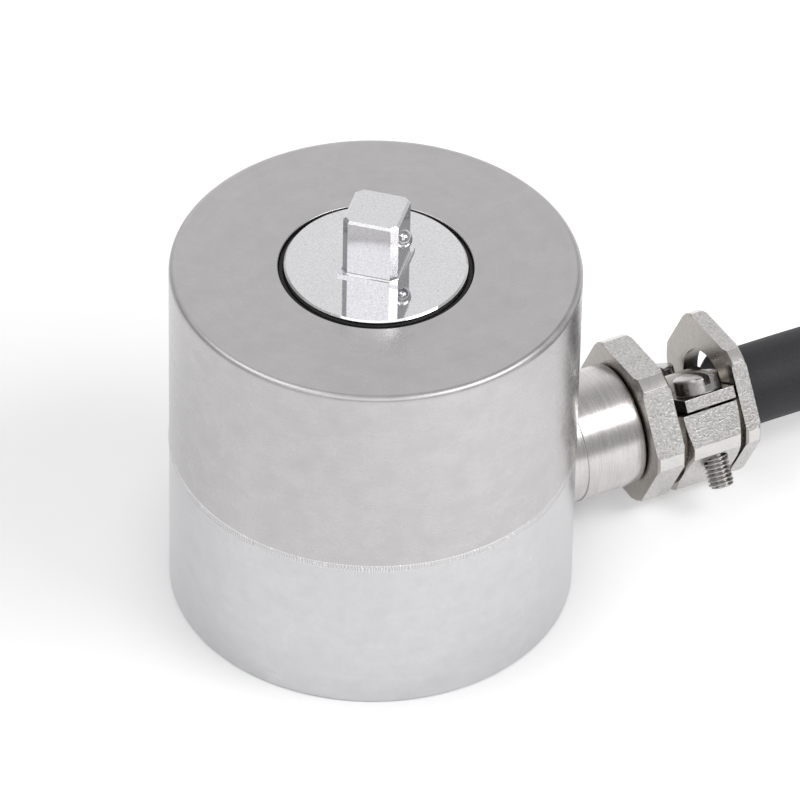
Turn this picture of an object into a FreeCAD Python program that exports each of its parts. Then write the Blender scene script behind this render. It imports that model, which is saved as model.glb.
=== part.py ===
import FreeCAD, Part
import math
import os

from FreeCAD import Vector

# Square drive torque sensor, in millimetres.
# +Z is the drive axis, with the origin at the centre of the bottom face.
# The cable gland points along +X.

# Housing
body_radius = 23.0
body_height = 44.4
base_edge_chamfer = 0.3
base_floor = 4.0
base_rim_wall = 3.0
shelf_width = 0.8
shelf_drop = 4.35
register_wall = 1.35
register_height = 2.0
cap_relief = 0.55
cap_roof = 3.6
cap_edge_radius = 0.7
register_clearance = 0.05

# Laser weld between base and cap
seam_height = 19.85
seam_width = 0.9
seam_depth = 0.55
seam_crown = 0.08

# Torsion shaft
hub_radius = 10.25
hub_proud = 0.42
hub_chamfer = 0.2
hub_length = 7.0
gauge_side = 9.0
gauge_blend = 2.0
foot_margin = 4.6
foot_thickness = 5.0
pilot_inset = 2.6
pilot_clearance = 0.03
socket_side = 6.42
socket_depth = 8.2
socket_lead = 0.4
socket_dimple_radius = 1.5
socket_dimple_height = 3.6

# Male drive square
square_side = 6.35
square_corner = 0.72
square_height = 7.67
square_top_chamfer = 0.28
square_turn = -43.5
plinth_side = 7.0
plinth_height = 0.35
plinth_blend = 0.3

# Detent in the male square
ball_radius = 1.19
ball_proud = 0.9
ball_drop = 3.57
ball_play = 0.04
pocket_depth = 4.9
pocket_lip = 0.3
pocket_lip_clearance = 0.02
detent_spring_radius = 0.85
detent_spring_wire = 0.12
detent_spring_turns = 5
detent_spring_steps = 6

# Hub seal
seal_bore_radius = 10.9
seal_clearance = 0.02
seal_recess = 0.4
seal_length = 2.9
seal_rib_radius = 12.0
seal_rib_top = 1.2
seal_rib_width = 1.4
seal_lip_round = 0.2

# Screws that hold the foot on the base floor
foot_screw_count = 4
foot_screw_inset = 3.0
foot_screw_radius = 1.5
foot_screw_bite = 1.8
foot_screw_tip_gap = 0.1
foot_screw_head_radius = 2.5
foot_screw_head_height = 2.0
foot_screw_hex = 2.5
foot_screw_hex_depth = 1.2
foot_screw_clearance = 0.1

# Gauges, terminal board and inner wiring
gauge_foil_width = 4.0
gauge_foil_length = 6.0
gauge_foil_thickness = 0.15
gauge_foil_height = 24.0
board_inner_radius = 8.4
board_thickness = 1.0
board_clearance = 0.05
wire_radius = 0.25
core_radius = 0.6
core_count = 6
core_bundle_radius = 2.6
core_pitch = 1.7
core_straight = 1.6
core_rise = 1.6
wire_offset = 1.0
wire_pad_inset = 1.2
wire_sag = 2.4

# Cable boss welded into the base
gland_height = 9.6
boss_radius = 7.2
boss_neck_radius = 6.9
boss_neck_length = 1.3
boss_seat_depth = 1.5
boss_length = 8.9
boss_end_round = 0.45
boss_spigot_radius = 5.8
boss_spigot_recess = 0.1
boss_thread_radius = 5.6
boss_thread_depth = 7.5
boss_clearance = 0.03

# Cable
cable_radius = 4.75
cable_bore_clearance = 0.25
cable_inner_reach = 1.0

# Seal bush and washers inside the boss
washer_thickness = 0.5
bush_length = 2.6
bush_clearance = 0.02

# Pressure screw, one piece of hexagon bar
hex_across_flats = 17.4
hex_turned_radius = 9.6
clamp_tilt = 33.0
collar_gap = 0.1
collar_length = 3.6
collar_groove = 0.7
cradle_length = 6.95
cradle_bevel = 0.45
ring_groove = 0.4
ring_length = 1.9
ring_hole_radius = 5.4
groove_radius = 8.0
cradle_cut = -0.1
screw_spigot_clearance = 0.03
screw_edge_chamfer = 0.25

# Cable where the clamp squeezes it, seen along the gland
squeezed_half_width = 4.25
squeezed_top = 2.0
squeezed_centre = -1.0
squeezed_clearance = 0.05
squeeze_lead = 1.1
squeeze_overrun = 0.1
channel_overlap = 0.2
exit_drop = 0.6

# Clamp strap and its two screws
strap_inset = 0.65
strap_length = 6.4
strap_underside = 0.2
strap_thickness = 1.45
strap_crown = 3.4
strap_crown_half_width = 3.2
clamp_screw_spacing = 12.0
clamp_screw_radius = 1.5
clamp_screw_length = 11.7
clamp_screw_far_length = 7.7
clamp_screw_head_radius = 2.75
clamp_screw_head_round = 0.5
clamp_screw_tip_chamfer = 0.3
clamp_screw_head_height = 2.1
clamp_screw_slot_width = 0.7
clamp_screw_slot_depth = 1.0
clamp_screw_clearance = 0.15
clamp_screw_slot_turn = 70.0

# Free cable: route from the gland to the coil, then the coil and its ties
exit_run = 7.5
route = [
    (64.0, 0.0, 8.3),
    (78.0, 3.2, 6.5),
    (93.0, 7.5, 5.1),
    (109.5, 12.2, 5.0),
]
coil_centre_x = 143.0
coil_centre_y = -42.5
coil_entry_angle = 105.9
coil_outer_turn = 61.75
coil_lift = 0.8
coil_open_turn = 114.0
coil_gap_angle = 54.0
coil_corner_share = 0.95
tie_width = 4.0
tie_thickness = 0.75
tie_clearance = 0.05
tie_corner_share = 0.9
tie_head = 5.0
tie_head_height = 3.2
tie_places = (150.0, 260.0)

# Stripped cores at the far end, each in a crimped ferrule
boot_length = 9.0
boot_tip_radius = 3.3
lead_count = 6
lead_radius = 0.65
lead_bundle_radius = 1.9
lead_bundle_pitch = 60.0
lead_straight = 4.0
lead_drop_run = 12.0
lead_fan_run = 9.5
lead_pitch = 1.52
lead_fan_shift = 0.25
lead_stagger = 0.7
lead_rest_gap = 0.1
ferrule_radius = 0.72
ferrule_length = 6.0
ferrule_pin_radius = 0.45
ferrule_pin_length = 5.0
ferrule_gap = 0.02

# Values that follow from the sizes above
base_upper_inner_radius = body_radius - base_rim_wall
base_lower_inner_radius = base_upper_inner_radius - shelf_width
board_shelf_height = seam_height - shelf_drop
register_radius = base_upper_inner_radius + register_wall
cap_inner_radius = register_radius - cap_relief
foot_radius = base_lower_inner_radius - foot_margin
foot_screw_circle = foot_radius - foot_screw_inset
pilot_radius = foot_screw_circle - pilot_inset
hub_top = body_height + hub_proud
hub_underside = hub_top - hub_length
foot_top = base_floor + foot_thickness
ball_height = hub_top + square_height - ball_drop
ball_centre = square_side / 2 + ball_proud - ball_radius
exit_centre = -exit_drop
coil_inner_turn = coil_outer_turn - 2 * cable_radius
coil_end_angle = coil_entry_angle + coil_open_turn
boss_seat = body_radius - boss_seat_depth
boss_neck_end = body_radius + boss_neck_length
boss_end = body_radius + boss_length
boss_spigot_inner_end = base_lower_inner_radius + boss_spigot_recess
cable_inner_end = boss_spigot_inner_end - cable_inner_reach
collar_start = boss_end + collar_gap
collar_end = collar_start + collar_length
cradle_start = collar_end + collar_groove
cradle_end = cradle_start + cradle_length
ring_start = cradle_end + ring_groove
ring_end = ring_start + ring_length
strap_start = cradle_start + strap_inset
strap_end = strap_start + strap_length
strap_top = strap_underside + strap_thickness
squeeze_start = strap_start - squeeze_lead
clamp_screw_x = (strap_start + strap_end) / 2
bush_seat = boss_end - boss_thread_depth
spigot_start = bush_seat + bush_length + 2 * washer_thickness
cable_bore = cable_radius + cable_bore_clearance
foot_screw_seat = foot_top - foot_screw_head_height
board_top = board_shelf_height + board_thickness

UP = Vector(0, 0, 1)
ALONG = Vector(1, 0, 0)
ACROSS = Vector(0, 1, 0)
ORIGIN = Vector(0, 0, 0)


def cylinder(radius, low, high):
    """A cylinder about the drive axis between two heights."""
    return Part.makeCylinder(radius, high - low, Vector(0, 0, low))


def ring(inner, outer, low, high):
    """A plain ring about the drive axis."""
    return cylinder(outer, low, high).cut(cylinder(inner, low - 1, high + 1))


def rod(radius, start, end, centre=0.0):
    """A cylinder along the gland, in the gland's own frame."""
    return Part.makeCylinder(radius, end - start, Vector(start, 0, centre), ALONG)


def block(x, y, z):
    """A box given by its low and high value along each axis."""
    return Part.makeBox(x[1] - x[0], y[1] - y[0], z[1] - z[0], Vector(x[0], y[0], z[0]))


def square_prism(side, low, high, turn=0.0):
    """A square prism about the drive axis."""
    prism = block((-side / 2, side / 2), (-side / 2, side / 2), (low, high))
    prism.rotate(ORIGIN, UP, turn)
    return prism


def revolved(points, axis=UP):
    """A closed outline turned about an axis through the origin."""
    face = Part.Face(Part.makePolygon(points + points[:1]))
    return face.revolve(ORIGIN, axis, 360)


def in_gland(shape):
    """Moves a shape from the gland's own frame into the sensor's frame."""
    placed = shape.copy()
    placed.rotate(ORIGIN, ALONG, -clamp_tilt)
    placed.translate(Vector(0, 0, gland_height))
    return placed


def edges_at_height(shape, height, tolerance=1e-4):
    """The edges that lie wholly at one height."""
    return [
        edge
        for edge in shape.Edges
        if abs(edge.BoundBox.ZMin - height) < tolerance
        and abs(edge.BoundBox.ZMax - height) < tolerance
    ]


def around(shape, count):
    """Copies of a shape spaced evenly about the drive axis."""
    copies = []
    for index in range(count):
        copy = shape.copy()
        copy.rotate(ORIGIN, UP, 360.0 * index / count)
        copies.append(copy)
    return copies


def cylinder_edges(shape, radius, height):
    """The round edges of one radius about the drive axis at one height."""
    return [
        edge
        for edge in edges_at_height(shape, height)
        if hasattr(edge.Curve, "Radius") and abs(edge.Curve.Radius - radius) < 1e-4
    ]


def foot_screw_places():
    """The centres of the foot screws, midway between the sensor's side axes."""
    places = []
    for index in range(foot_screw_count):
        angle = 2 * math.pi * (index + 0.5) / foot_screw_count
        places.append(Vector(math.cos(angle), math.sin(angle), 0) * foot_screw_circle)
    return places


def base_housing():
    """The turned lower cup, with its stepped side hole for the cable boss."""
    cup = cylinder(body_radius, 0, seam_height)
    cup = cup.makeChamfer(base_edge_chamfer, cylinder_edges(cup, body_radius, 0))
    cup = cup.makeChamfer(
        seam_width / 2, seam_depth, cylinder_edges(cup, body_radius, seam_height)
    )
    cup = cup.fuse(cylinder(register_radius, seam_height, seam_height + register_height))
    cup = cup.cut(cylinder(base_lower_inner_radius, base_floor, board_shelf_height))
    cup = cup.cut(
        cylinder(base_upper_inner_radius, board_shelf_height, seam_height + register_height)
    )
    cup = cup.cut(cylinder(pilot_radius + pilot_clearance, 0, base_floor))
    inside = cable_inner_end - boss_spigot_recess
    side_hole = rod(boss_spigot_radius + boss_clearance, inside, body_radius)
    side_hole = side_hole.fuse(rod(boss_neck_radius + boss_clearance, boss_seat, 2 * body_radius))
    cup = cup.cut(side_hole.translated(UP * gland_height))
    hole = cylinder(foot_screw_radius, base_floor - foot_screw_bite, base_floor)
    for place in foot_screw_places():
        cup = cup.cut(hole.translated(place))
    return cup.removeSplitter()


def upper_housing():
    """The drawn cap with a thick roof, bored for the hub seal."""
    low = seam_height
    cap = cylinder(body_radius, low, body_height)
    cap = cap.makeFillet(cap_edge_radius, cylinder_edges(cap, body_radius, body_height))
    cap = cap.makeChamfer(seam_width / 2, seam_depth, cylinder_edges(cap, body_radius, low))
    cap = cap.cut(cylinder(cap_inner_radius, low, body_height - cap_roof))
    recess_top = low + register_height + register_clearance
    cap = cap.cut(cylinder(register_radius + register_clearance, low, recess_top))
    cap = cap.cut(cylinder(seal_bore_radius, low, body_height + 1))
    rib_top = body_height - seal_rib_top
    return cap.cut(cylinder(seal_rib_radius, rib_top - seal_rib_width, rib_top))


def seam_weld():
    """The weld bead that fills the V between base and cap, slightly crowned."""
    root = Vector(body_radius - seam_depth, 0, seam_height)
    top = Vector(body_radius, 0, seam_height + seam_width / 2)
    low = Vector(body_radius, 0, seam_height - seam_width / 2)
    crown = Vector(body_radius + seam_crown, 0, seam_height)
    outline = [
        Part.LineSegment(root, low).toShape(),
        Part.Arc(low, crown, top).toShape(),
        Part.LineSegment(top, root).toShape(),
    ]
    return Part.Face(Part.Wire(outline)).revolve(ORIGIN, UP, 360)


def drive_square():
    """The male square with flattened corners on its plinth, with a blended foot."""
    top = hub_top + square_height
    plinth_top = hub_top + plinth_height
    post = square_prism(square_side, hub_top, top)
    upright = [e for e in post.Edges if abs(e.BoundBox.ZLength - square_height) < 1e-3]
    post = post.makeChamfer(square_corner, upright)
    post = post.makeChamfer(square_top_chamfer, edges_at_height(post, top))
    plinth = square_prism(plinth_side, hub_top, plinth_top)
    stub = post.fuse(plinth).removeSplitter()
    half = square_side / 2 + 1e-3
    foot = [
        e
        for e in edges_at_height(stub, plinth_top)
        if max(abs(e.BoundBox.XMin), abs(e.BoundBox.XMax)) < half
        and max(abs(e.BoundBox.YMin), abs(e.BoundBox.YMax)) < half
    ]
    stub = stub.makeFillet(plinth_blend, foot)
    stub.rotate(ORIGIN, UP, square_turn)
    return stub


def ball_pocket():
    """The blind hole for ball and spring, closed in at its mouth to trap the ball."""
    bore = ball_radius + ball_play
    face = square_side / 2
    inward = ball_radius - ball_proud
    mouth = math.sqrt(ball_radius**2 - inward**2) + pocket_lip_clearance
    points = [
        Vector(face - pocket_depth, 0, 0),
        Vector(face - pocket_depth, 0, bore),
        Vector(face - pocket_lip, 0, bore),
        Vector(face, 0, mouth),
        Vector(face + 1, 0, mouth),
        Vector(face + 1, 0, 0),
    ]
    pocket = revolved(points, ALONG)
    pocket.translate(UP * ball_height)
    pocket.rotate(ORIGIN, UP, square_turn)
    return pocket


def torsion_shaft():
    """Foot with its drive socket, gauged neck, hub and male square in one piece."""
    hub = cylinder(hub_radius, hub_underside, hub_top)
    hub = hub.makeChamfer(hub_chamfer, cylinder_edges(hub, hub_radius, hub_top))
    neck = square_prism(gauge_side, base_floor, hub_top)
    shaft = hub.fuse(neck).fuse(cylinder(foot_radius, base_floor, foot_top))
    half = gauge_side / 2 + 1e-3
    for height in (foot_top, hub_underside):
        corners = [
            e
            for e in edges_at_height(shaft, height)
            if max(abs(e.BoundBox.XMin), abs(e.BoundBox.XMax)) < half
            and max(abs(e.BoundBox.YMin), abs(e.BoundBox.YMax)) < half
        ]
        shaft = shaft.makeFillet(gauge_blend, corners)
    shaft = shaft.fuse(cylinder(pilot_radius, 0, base_floor)).fuse(drive_square())
    shaft = shaft.cut(square_prism(socket_side, -1, socket_depth))
    lead_side = socket_side + 2 * socket_lead
    lead = Part.makeLoft(
        [
            Part.makePolygon(square_corners(lead_side, 0)),
            Part.makePolygon(square_corners(socket_side, socket_lead)),
        ],
        True,
        True,
    )
    shaft = shaft.cut(lead)
    dimple = Part.makeSphere(
        socket_dimple_radius,
        Vector(socket_side / 2, 0, socket_dimple_height),
    )
    for copy in around(dimple, 4):
        shaft = shaft.cut(copy)
    head = cylinder(foot_screw_head_radius + foot_screw_clearance, foot_screw_seat, foot_top + 1)
    shank = cylinder(foot_screw_radius + foot_screw_clearance, base_floor, foot_top)
    for place in foot_screw_places():
        shaft = shaft.cut(head.fuse(shank).translated(place))
    return shaft.cut(ball_pocket()).removeSplitter()


def square_corners(side, height):
    """The closed outline of a square at one height."""
    half = side / 2
    corners = [Vector(x * half, y * half, height) for x, y in ((-1, -1), (1, -1), (1, 1), (-1, 1))]
    return corners + corners[:1]


def detent_ball():
    """The ball that stands out of the square's face."""
    ball = Part.makeSphere(ball_radius, Vector(ball_centre, 0, ball_height))
    ball.rotate(ORIGIN, UP, square_turn)
    return ball


def detent_spring():
    """The coil spring behind the ball, along the pocket."""
    start = square_side / 2 - pocket_depth + detent_spring_wire
    end = ball_centre - ball_radius - detent_spring_wire
    steps = detent_spring_turns * detent_spring_steps

    def place(step):
        """The wire's centre after a number of steps along the coils."""
        angle = 2 * math.pi * step / detent_spring_steps
        x = start + (end - start) * step / steps
        return Vector(x, detent_spring_radius * math.cos(angle), detent_spring_radius * math.sin(angle))

    arcs = [Part.Arc(place(k), place(k + 0.5), place(k + 1)).toShape() for k in range(steps)]
    way = arcs[0].tangentAt(arcs[0].FirstParameter)
    section = Part.Wire([Part.makeCircle(detent_spring_wire, place(0), way)])
    spring = Part.Wire(arcs).makePipeShell([section], True, False)
    spring.translate(UP * ball_height)
    spring.rotate(ORIGIN, UP, square_turn)
    return spring


def hub_seal():
    """The rubber ring between hub and cap, with a rib that sits in the cap's groove."""
    inner = hub_radius + seal_clearance
    outer = seal_bore_radius - seal_clearance
    rib = seal_rib_radius - seal_clearance
    top = body_height - seal_recess
    low = top - seal_length
    rib_top = body_height - seal_rib_top - seal_clearance
    rib_low = rib_top - seal_rib_width + 2 * seal_clearance
    points = [
        Vector(inner, 0, low),
        Vector(outer, 0, low),
        Vector(outer, 0, rib_low),
        Vector(rib, 0, rib_low),
        Vector(rib, 0, rib_top),
        Vector(outer, 0, rib_top),
        Vector(outer, 0, top - seal_lip_round),
        Vector(outer - seal_lip_round, 0, top),
        Vector(inner + seal_lip_round, 0, top),
        Vector(inner, 0, top - seal_lip_round),
    ]
    return revolved(points)


def hexagon_corners(across_flats, first, second):
    """The closed outline of a hexagon, with a corner on the first of two axes."""
    corner = across_flats / math.sqrt(3)
    angles = [math.radians(60 * k) for k in range(7)]
    return [first * (corner * math.cos(a)) + second * (corner * math.sin(a)) for a in angles]


def foot_screws():
    """The socket head screws that hold the shaft's foot on the base floor."""
    head = cylinder(foot_screw_head_radius, foot_screw_seat, foot_top)
    tip = base_floor - foot_screw_bite + foot_screw_tip_gap
    shank = cylinder(foot_screw_radius, tip, foot_screw_seat)
    floor = UP * (foot_top - foot_screw_hex_depth)
    hexagon = [floor + corner for corner in hexagon_corners(foot_screw_hex, ALONG, ACROSS)]
    key = Part.Face(Part.makePolygon(hexagon)).extrude(UP * foot_screw_head_height)
    screw = head.fuse(shank).cut(key).removeSplitter()
    return Part.makeCompound([screw.translated(place) for place in foot_screw_places()])


def strain_gauges():
    """The four foil gauges bonded on the flats of the neck."""
    side = gauge_side / 2
    foil = block(
        (side, side + gauge_foil_thickness),
        (-gauge_foil_width / 2, gauge_foil_width / 2),
        (gauge_foil_height - gauge_foil_length / 2, gauge_foil_height + gauge_foil_length / 2),
    )
    return Part.makeCompound(around(foil, 4))


def terminal_board():
    """The ring shaped board on the base's shelf, where the wires are soldered."""
    outer = base_upper_inner_radius - board_clearance
    return ring(board_inner_radius, outer, board_shelf_height, board_top)


def tube_along(points, radius):
    """A round wire through straight runs and tangent arcs at its inner points."""
    edges = []
    last = points[0]
    for before, corner, after in zip(points, points[1:], points[2:]):
        into = (corner - before).normalize()
        out = (after - corner).normalize()
        turn = math.acos(max(-1.0, min(1.0, into.dot(out))))
        run = min((corner - before).Length, (after - corner).Length)
        trim = 0.45 * run
        start = corner - into * trim
        end = corner + out * trim
        bend = trim / math.tan(turn / 2)
        inward = (out - into).normalize()
        middle = corner + inward * (bend / math.cos(turn / 2) - bend)
        edges.append(Part.LineSegment(last, start).toShape())
        edges.append(Part.Arc(start, middle, end).toShape())
        last = end
    edges.append(Part.LineSegment(last, points[-1]).toShape())
    path = Part.Wire(edges)
    section = Part.Wire([Part.makeCircle(radius, points[0], points[1] - points[0])])
    return path.makePipeShell([section], True, False)


def gauge_wires():
    """The fine wires from each gauge down to the board."""
    high = gauge_foil_height - gauge_foil_length / 2
    standing = gauge_side / 2 + wire_radius
    pad = board_inner_radius + wire_pad_inset
    points = [
        Vector(standing, wire_offset, high),
        Vector(standing, wire_offset, board_top + wire_sag),
        Vector(pad, wire_offset, board_top + wire_sag),
        Vector(pad, wire_offset, board_top),
    ]
    wire = tube_along(points, wire_radius)
    return Part.makeCompound(around(wire, 4))


def cable_cores():
    """The cable's insulated cores, from its inner end up to the board."""
    cores = []
    bend = cable_inner_end - core_straight
    for index in range(core_count):
        angle = 2 * math.pi * index / core_count
        y = core_bundle_radius * math.cos(angle)
        z = gland_height + core_bundle_radius * math.sin(angle)
        spread = core_pitch * (index - (core_count - 1) / 2)
        points = [
            Vector(cable_inner_end, y, z),
            Vector(bend, y, z),
            Vector(bend - core_radius, spread, board_shelf_height - core_rise),
            Vector(bend - core_radius, spread, board_shelf_height),
        ]
        cores.append(tube_along(points, core_radius))
    return Part.makeCompound(cores)


def cable_boss():
    """The turned sleeve for the gland: spigot, neck, barrel and threaded mouth."""
    body = rod(boss_spigot_radius, boss_spigot_inner_end, boss_seat)
    body = body.fuse(rod(boss_neck_radius, boss_seat, boss_neck_end))
    barrel = rod(boss_radius, boss_neck_end, boss_end)
    rim = [e for e in barrel.Edges if abs(e.BoundBox.XMin - boss_end) < 1e-4]
    barrel = barrel.makeFillet(boss_end_round, rim)
    body = body.fuse(barrel)
    body = body.cut(rod(cable_bore, 0, boss_end))
    body = body.cut(rod(boss_thread_radius, bush_seat, boss_end + 1))
    return body.removeSplitter().translated(UP * gland_height)


def seal_bush():
    """The rubber bush that the pressure screw squeezes round the cable."""
    start = bush_seat + washer_thickness
    inner = rod(cable_radius + bush_clearance, start - 1, start + bush_length + 1)
    bush = rod(boss_thread_radius - bush_clearance, start, start + bush_length).cut(inner)
    return bush.translated(UP * gland_height)


def seal_washers():
    """The thrust washers on both sides of the rubber bush."""
    washer = rod(boss_thread_radius - screw_spigot_clearance, 0, washer_thickness)
    washer = washer.cut(rod(cable_bore, -1, washer_thickness + 1))
    near = washer.translated(ALONG * bush_seat + UP * gland_height)
    far = near.translated(ALONG * (washer_thickness + bush_length))
    return Part.makeCompound([near, far])


def hexagon_bar(start, end):
    """A stretch of hexagon bar whose corners are turned round, corners up and down."""
    outline = [ALONG * start + c for c in hexagon_corners(hex_across_flats, UP, ACROSS)]
    bar = Part.Face(Part.makePolygon(outline)).extrude(ALONG * (end - start))
    return bar.common(rod(hex_turned_radius, start, end))


def bevelled(radius, start, end, bevel):
    """A turned envelope that takes the corners off both ends of a stretch of bar."""
    points = [
        Vector(start, 0, 0),
        Vector(start, 0, radius - bevel),
        Vector(start + bevel, 0, radius),
        Vector(end - bevel, 0, radius),
        Vector(end, 0, radius - bevel),
        Vector(end, 0, 0),
    ]
    return revolved(points, ALONG)


def pressure_screw():
    """Collar, clamp cradle and end ring from one hexagon bar, with a threaded spigot."""
    collar = hexagon_bar(collar_start, collar_end)
    collar = collar.common(bevelled(hex_turned_radius, collar_start, collar_end, screw_edge_chamfer))
    end_ring = hexagon_bar(ring_start, ring_end)
    end_ring = end_ring.common(bevelled(hex_turned_radius, ring_start, ring_end, screw_edge_chamfer))
    cradle = hexagon_bar(cradle_start, cradle_end)
    flat = hex_across_flats / 2
    turned = [
        Vector(cradle_start, 0, 0),
        Vector(cradle_start, 0, flat),
        Vector(cradle_start + cradle_bevel, 0, hex_turned_radius),
        Vector(cradle_end - cradle_bevel, 0, hex_turned_radius),
        Vector(cradle_end, 0, flat),
        Vector(cradle_end, 0, 0),
    ]
    cradle = cradle.common(revolved(turned, ALONG))
    core = rod(groove_radius, collar_start, ring_end)
    lower = cradle.fuse(core)
    above = block((collar_end, ring_start), (-flat - 2, flat + 2), (cradle_cut, flat + 4))
    lower = lower.cut(above)
    screw = collar.fuse(end_ring).fuse(lower)
    spigot_radius = boss_thread_radius - screw_spigot_clearance
    screw = screw.fuse(rod(spigot_radius, spigot_start, collar_start))
    screw = screw.cut(rod(cable_bore, spigot_start - 1, strap_start))
    screw = screw.cut(rod(ring_hole_radius, ring_start - channel_overlap, ring_end + 1))
    half = squeezed_half_width + squeezed_clearance
    channel_start = collar_end - channel_overlap
    screw = screw.cut(rod(half, channel_start, ring_start, squeezed_centre))
    channel = block((channel_start, ring_start), (-half, half), (squeezed_centre, flat))
    inside = rod(ring_hole_radius, channel_start, ring_start)
    screw = screw.cut(channel.common(inside))
    for side in clamp_screw_sides():
        mouth = Vector(clamp_screw_x, side, cradle_cut)
        screw = screw.cut(Part.makeCylinder(clamp_screw_radius, 3 * flat, mouth, -UP))
    return in_gland(screw.removeSplitter())


def clamp_screw_sides():
    """The two clamp screws' places across the gland, the near one first."""
    return (-clamp_screw_spacing / 2, clamp_screw_spacing / 2)


def cable_section(x, half_width, top, bottom_centre):
    """A closed cable outline across the gland: a half circle below and a half ellipse above."""
    rise = top - bottom_centre
    centre = Vector(x, 0, bottom_centre)
    lower = Part.Arc(
        Vector(x, -half_width, bottom_centre),
        Vector(x, 0, bottom_centre - half_width),
        Vector(x, half_width, bottom_centre),
    ).toShape()
    if abs(rise - half_width) < 1e-6:
        upper = Part.Arc(
            Vector(x, half_width, bottom_centre),
            Vector(x, 0, top),
            Vector(x, -half_width, bottom_centre),
        ).toShape()
    else:
        side = Vector(x, half_width, bottom_centre)
        ellipse = Part.Ellipse(side, Vector(x, 0, bottom_centre + rise), centre)
        upper = Part.Arc(ellipse, 0, math.pi).toShape()
        if (upper.valueAt(upper.FirstParameter) - side).Length > 1e-6:
            upper.reverse()
    return Part.Wire([lower, upper])


def squeezed_prism(start, end, clearance=0.0):
    """The straight stretch of cable under the strap, or the space that it needs."""
    outline = cable_section(
        start,
        squeezed_half_width + clearance,
        squeezed_top + clearance,
        squeezed_centre,
    )
    return Part.Face(outline).extrude(ALONG * (end - start))


def cable_lead():
    """The cable inside the gland: round in the bush, squeezed by the clamp, round again."""
    inner = rod(cable_radius, cable_inner_end, squeeze_start)
    pinch_end = strap_end + squeeze_overrun
    pinched = squeezed_prism(strap_start, pinch_end)
    narrow = (squeezed_half_width, squeezed_top, squeezed_centre)
    taper_in = Part.makeLoft(
        [
            cable_section(squeeze_start, cable_radius, cable_radius, 0.0),
            cable_section(strap_start, *narrow),
        ],
        True,
        True,
    )
    taper_out = Part.makeLoft(
        [
            cable_section(pinch_end, *narrow),
            cable_section(ring_end, cable_radius, exit_centre + cable_radius, exit_centre),
        ],
        True,
        True,
    )
    return in_gland(inner.fuse(taper_in).fuse(pinched).fuse(taper_out).removeSplitter())


def clamp_strap():
    """The strap over the cable: two flat ears and a crowned middle."""
    flat = hex_across_flats / 2
    corners = [
        Vector(strap_start, -flat, strap_underside),
        Vector(strap_start, -flat, strap_top),
        Vector(strap_start, -strap_crown_half_width, strap_top),
        Vector(strap_start, 0, strap_crown),
        Vector(strap_start, strap_crown_half_width, strap_top),
        Vector(strap_start, flat, strap_top),
        Vector(strap_start, flat, strap_underside),
    ]
    outline = [
        Part.LineSegment(corners[0], corners[1]).toShape(),
        Part.LineSegment(corners[1], corners[2]).toShape(),
        Part.Arc(corners[2], corners[3], corners[4]).toShape(),
        Part.LineSegment(corners[4], corners[5]).toShape(),
        Part.LineSegment(corners[5], corners[6]).toShape(),
        Part.LineSegment(corners[6], corners[0]).toShape(),
    ]
    strap = Part.Face(Part.Wire(outline)).extrude(ALONG * (strap_end - strap_start))
    strap = strap.cut(squeezed_prism(strap_start - 1, strap_end + 1, squeezed_clearance))
    for side in clamp_screw_sides():
        hole = Part.makeCylinder(
            clamp_screw_radius + clamp_screw_clearance,
            strap_top,
            Vector(clamp_screw_x, side, 0),
        )
        strap = strap.cut(hole)
    return in_gland(strap.removeSplitter())


def clamp_screw(side, length):
    """A slotted cheese head screw of one length through the strap into the cradle."""
    centre = Vector(clamp_screw_x, side, strap_top)
    head = Part.makeCylinder(clamp_screw_head_radius, clamp_screw_head_height, centre)
    rim = edges_at_height(head, strap_top + clamp_screw_head_height)
    head = head.makeFillet(clamp_screw_head_round, rim)
    shank = Part.makeCylinder(clamp_screw_radius, length, centre, -UP)
    tip = edges_at_height(shank, strap_top - length)
    shank = shank.makeChamfer(clamp_screw_tip_chamfer, tip)
    head_top = strap_top + clamp_screw_head_height
    slot = block(
        (-2 * clamp_screw_head_radius, 2 * clamp_screw_head_radius),
        (-clamp_screw_slot_width / 2, clamp_screw_slot_width / 2),
        (head_top - clamp_screw_slot_depth, head_top + 1),
    )
    slot.rotate(ORIGIN, UP, clamp_screw_slot_turn)
    slot.translate(Vector(clamp_screw_x, side, 0))
    return in_gland(head.fuse(shank).cut(slot).removeSplitter())


def clamp_screw_near():
    """The raised screw, whose end stands out of the cradle."""
    return clamp_screw(clamp_screw_sides()[0], clamp_screw_length)


def clamp_screw_far():
    """The low screw, short enough to stay clear of the bench."""
    return clamp_screw(clamp_screw_sides()[1], clamp_screw_far_length)


def cable_exit():
    """The centre of the cable where it leaves the end ring."""
    marker = Part.Vertex(Vector(ring_end, 0, exit_centre))
    return in_gland(marker).Point


def coil_height():
    """The height of the middle of the coil's lower turns."""
    return coil_lift + cable_radius


def coil_entry():
    """The point where the free cable joins the coil's outer turn, along its tangent."""
    angle = math.radians(coil_entry_angle)
    x = coil_centre_x + coil_outer_turn * math.cos(angle)
    return Vector(x, coil_centre_y + coil_outer_turn * math.sin(angle), coil_height())


def cable():
    """The free stretch of cable from the gland to the coil."""
    leaves = cable_exit()
    points = [leaves, leaves + ALONG * exit_run]
    points += [Vector(*point) for point in route]
    points.append(coil_entry())
    for before, corner, after in zip(points, points[1:], points[2:]):
        turn = (corner - before).getAngle(after - corner)
        run = min((corner - before).Length, (after - corner).Length)
        print("cable bend radius", round(0.45 * run / math.tan(turn / 2), 1))
    return tube_along(points, cable_radius)


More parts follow.
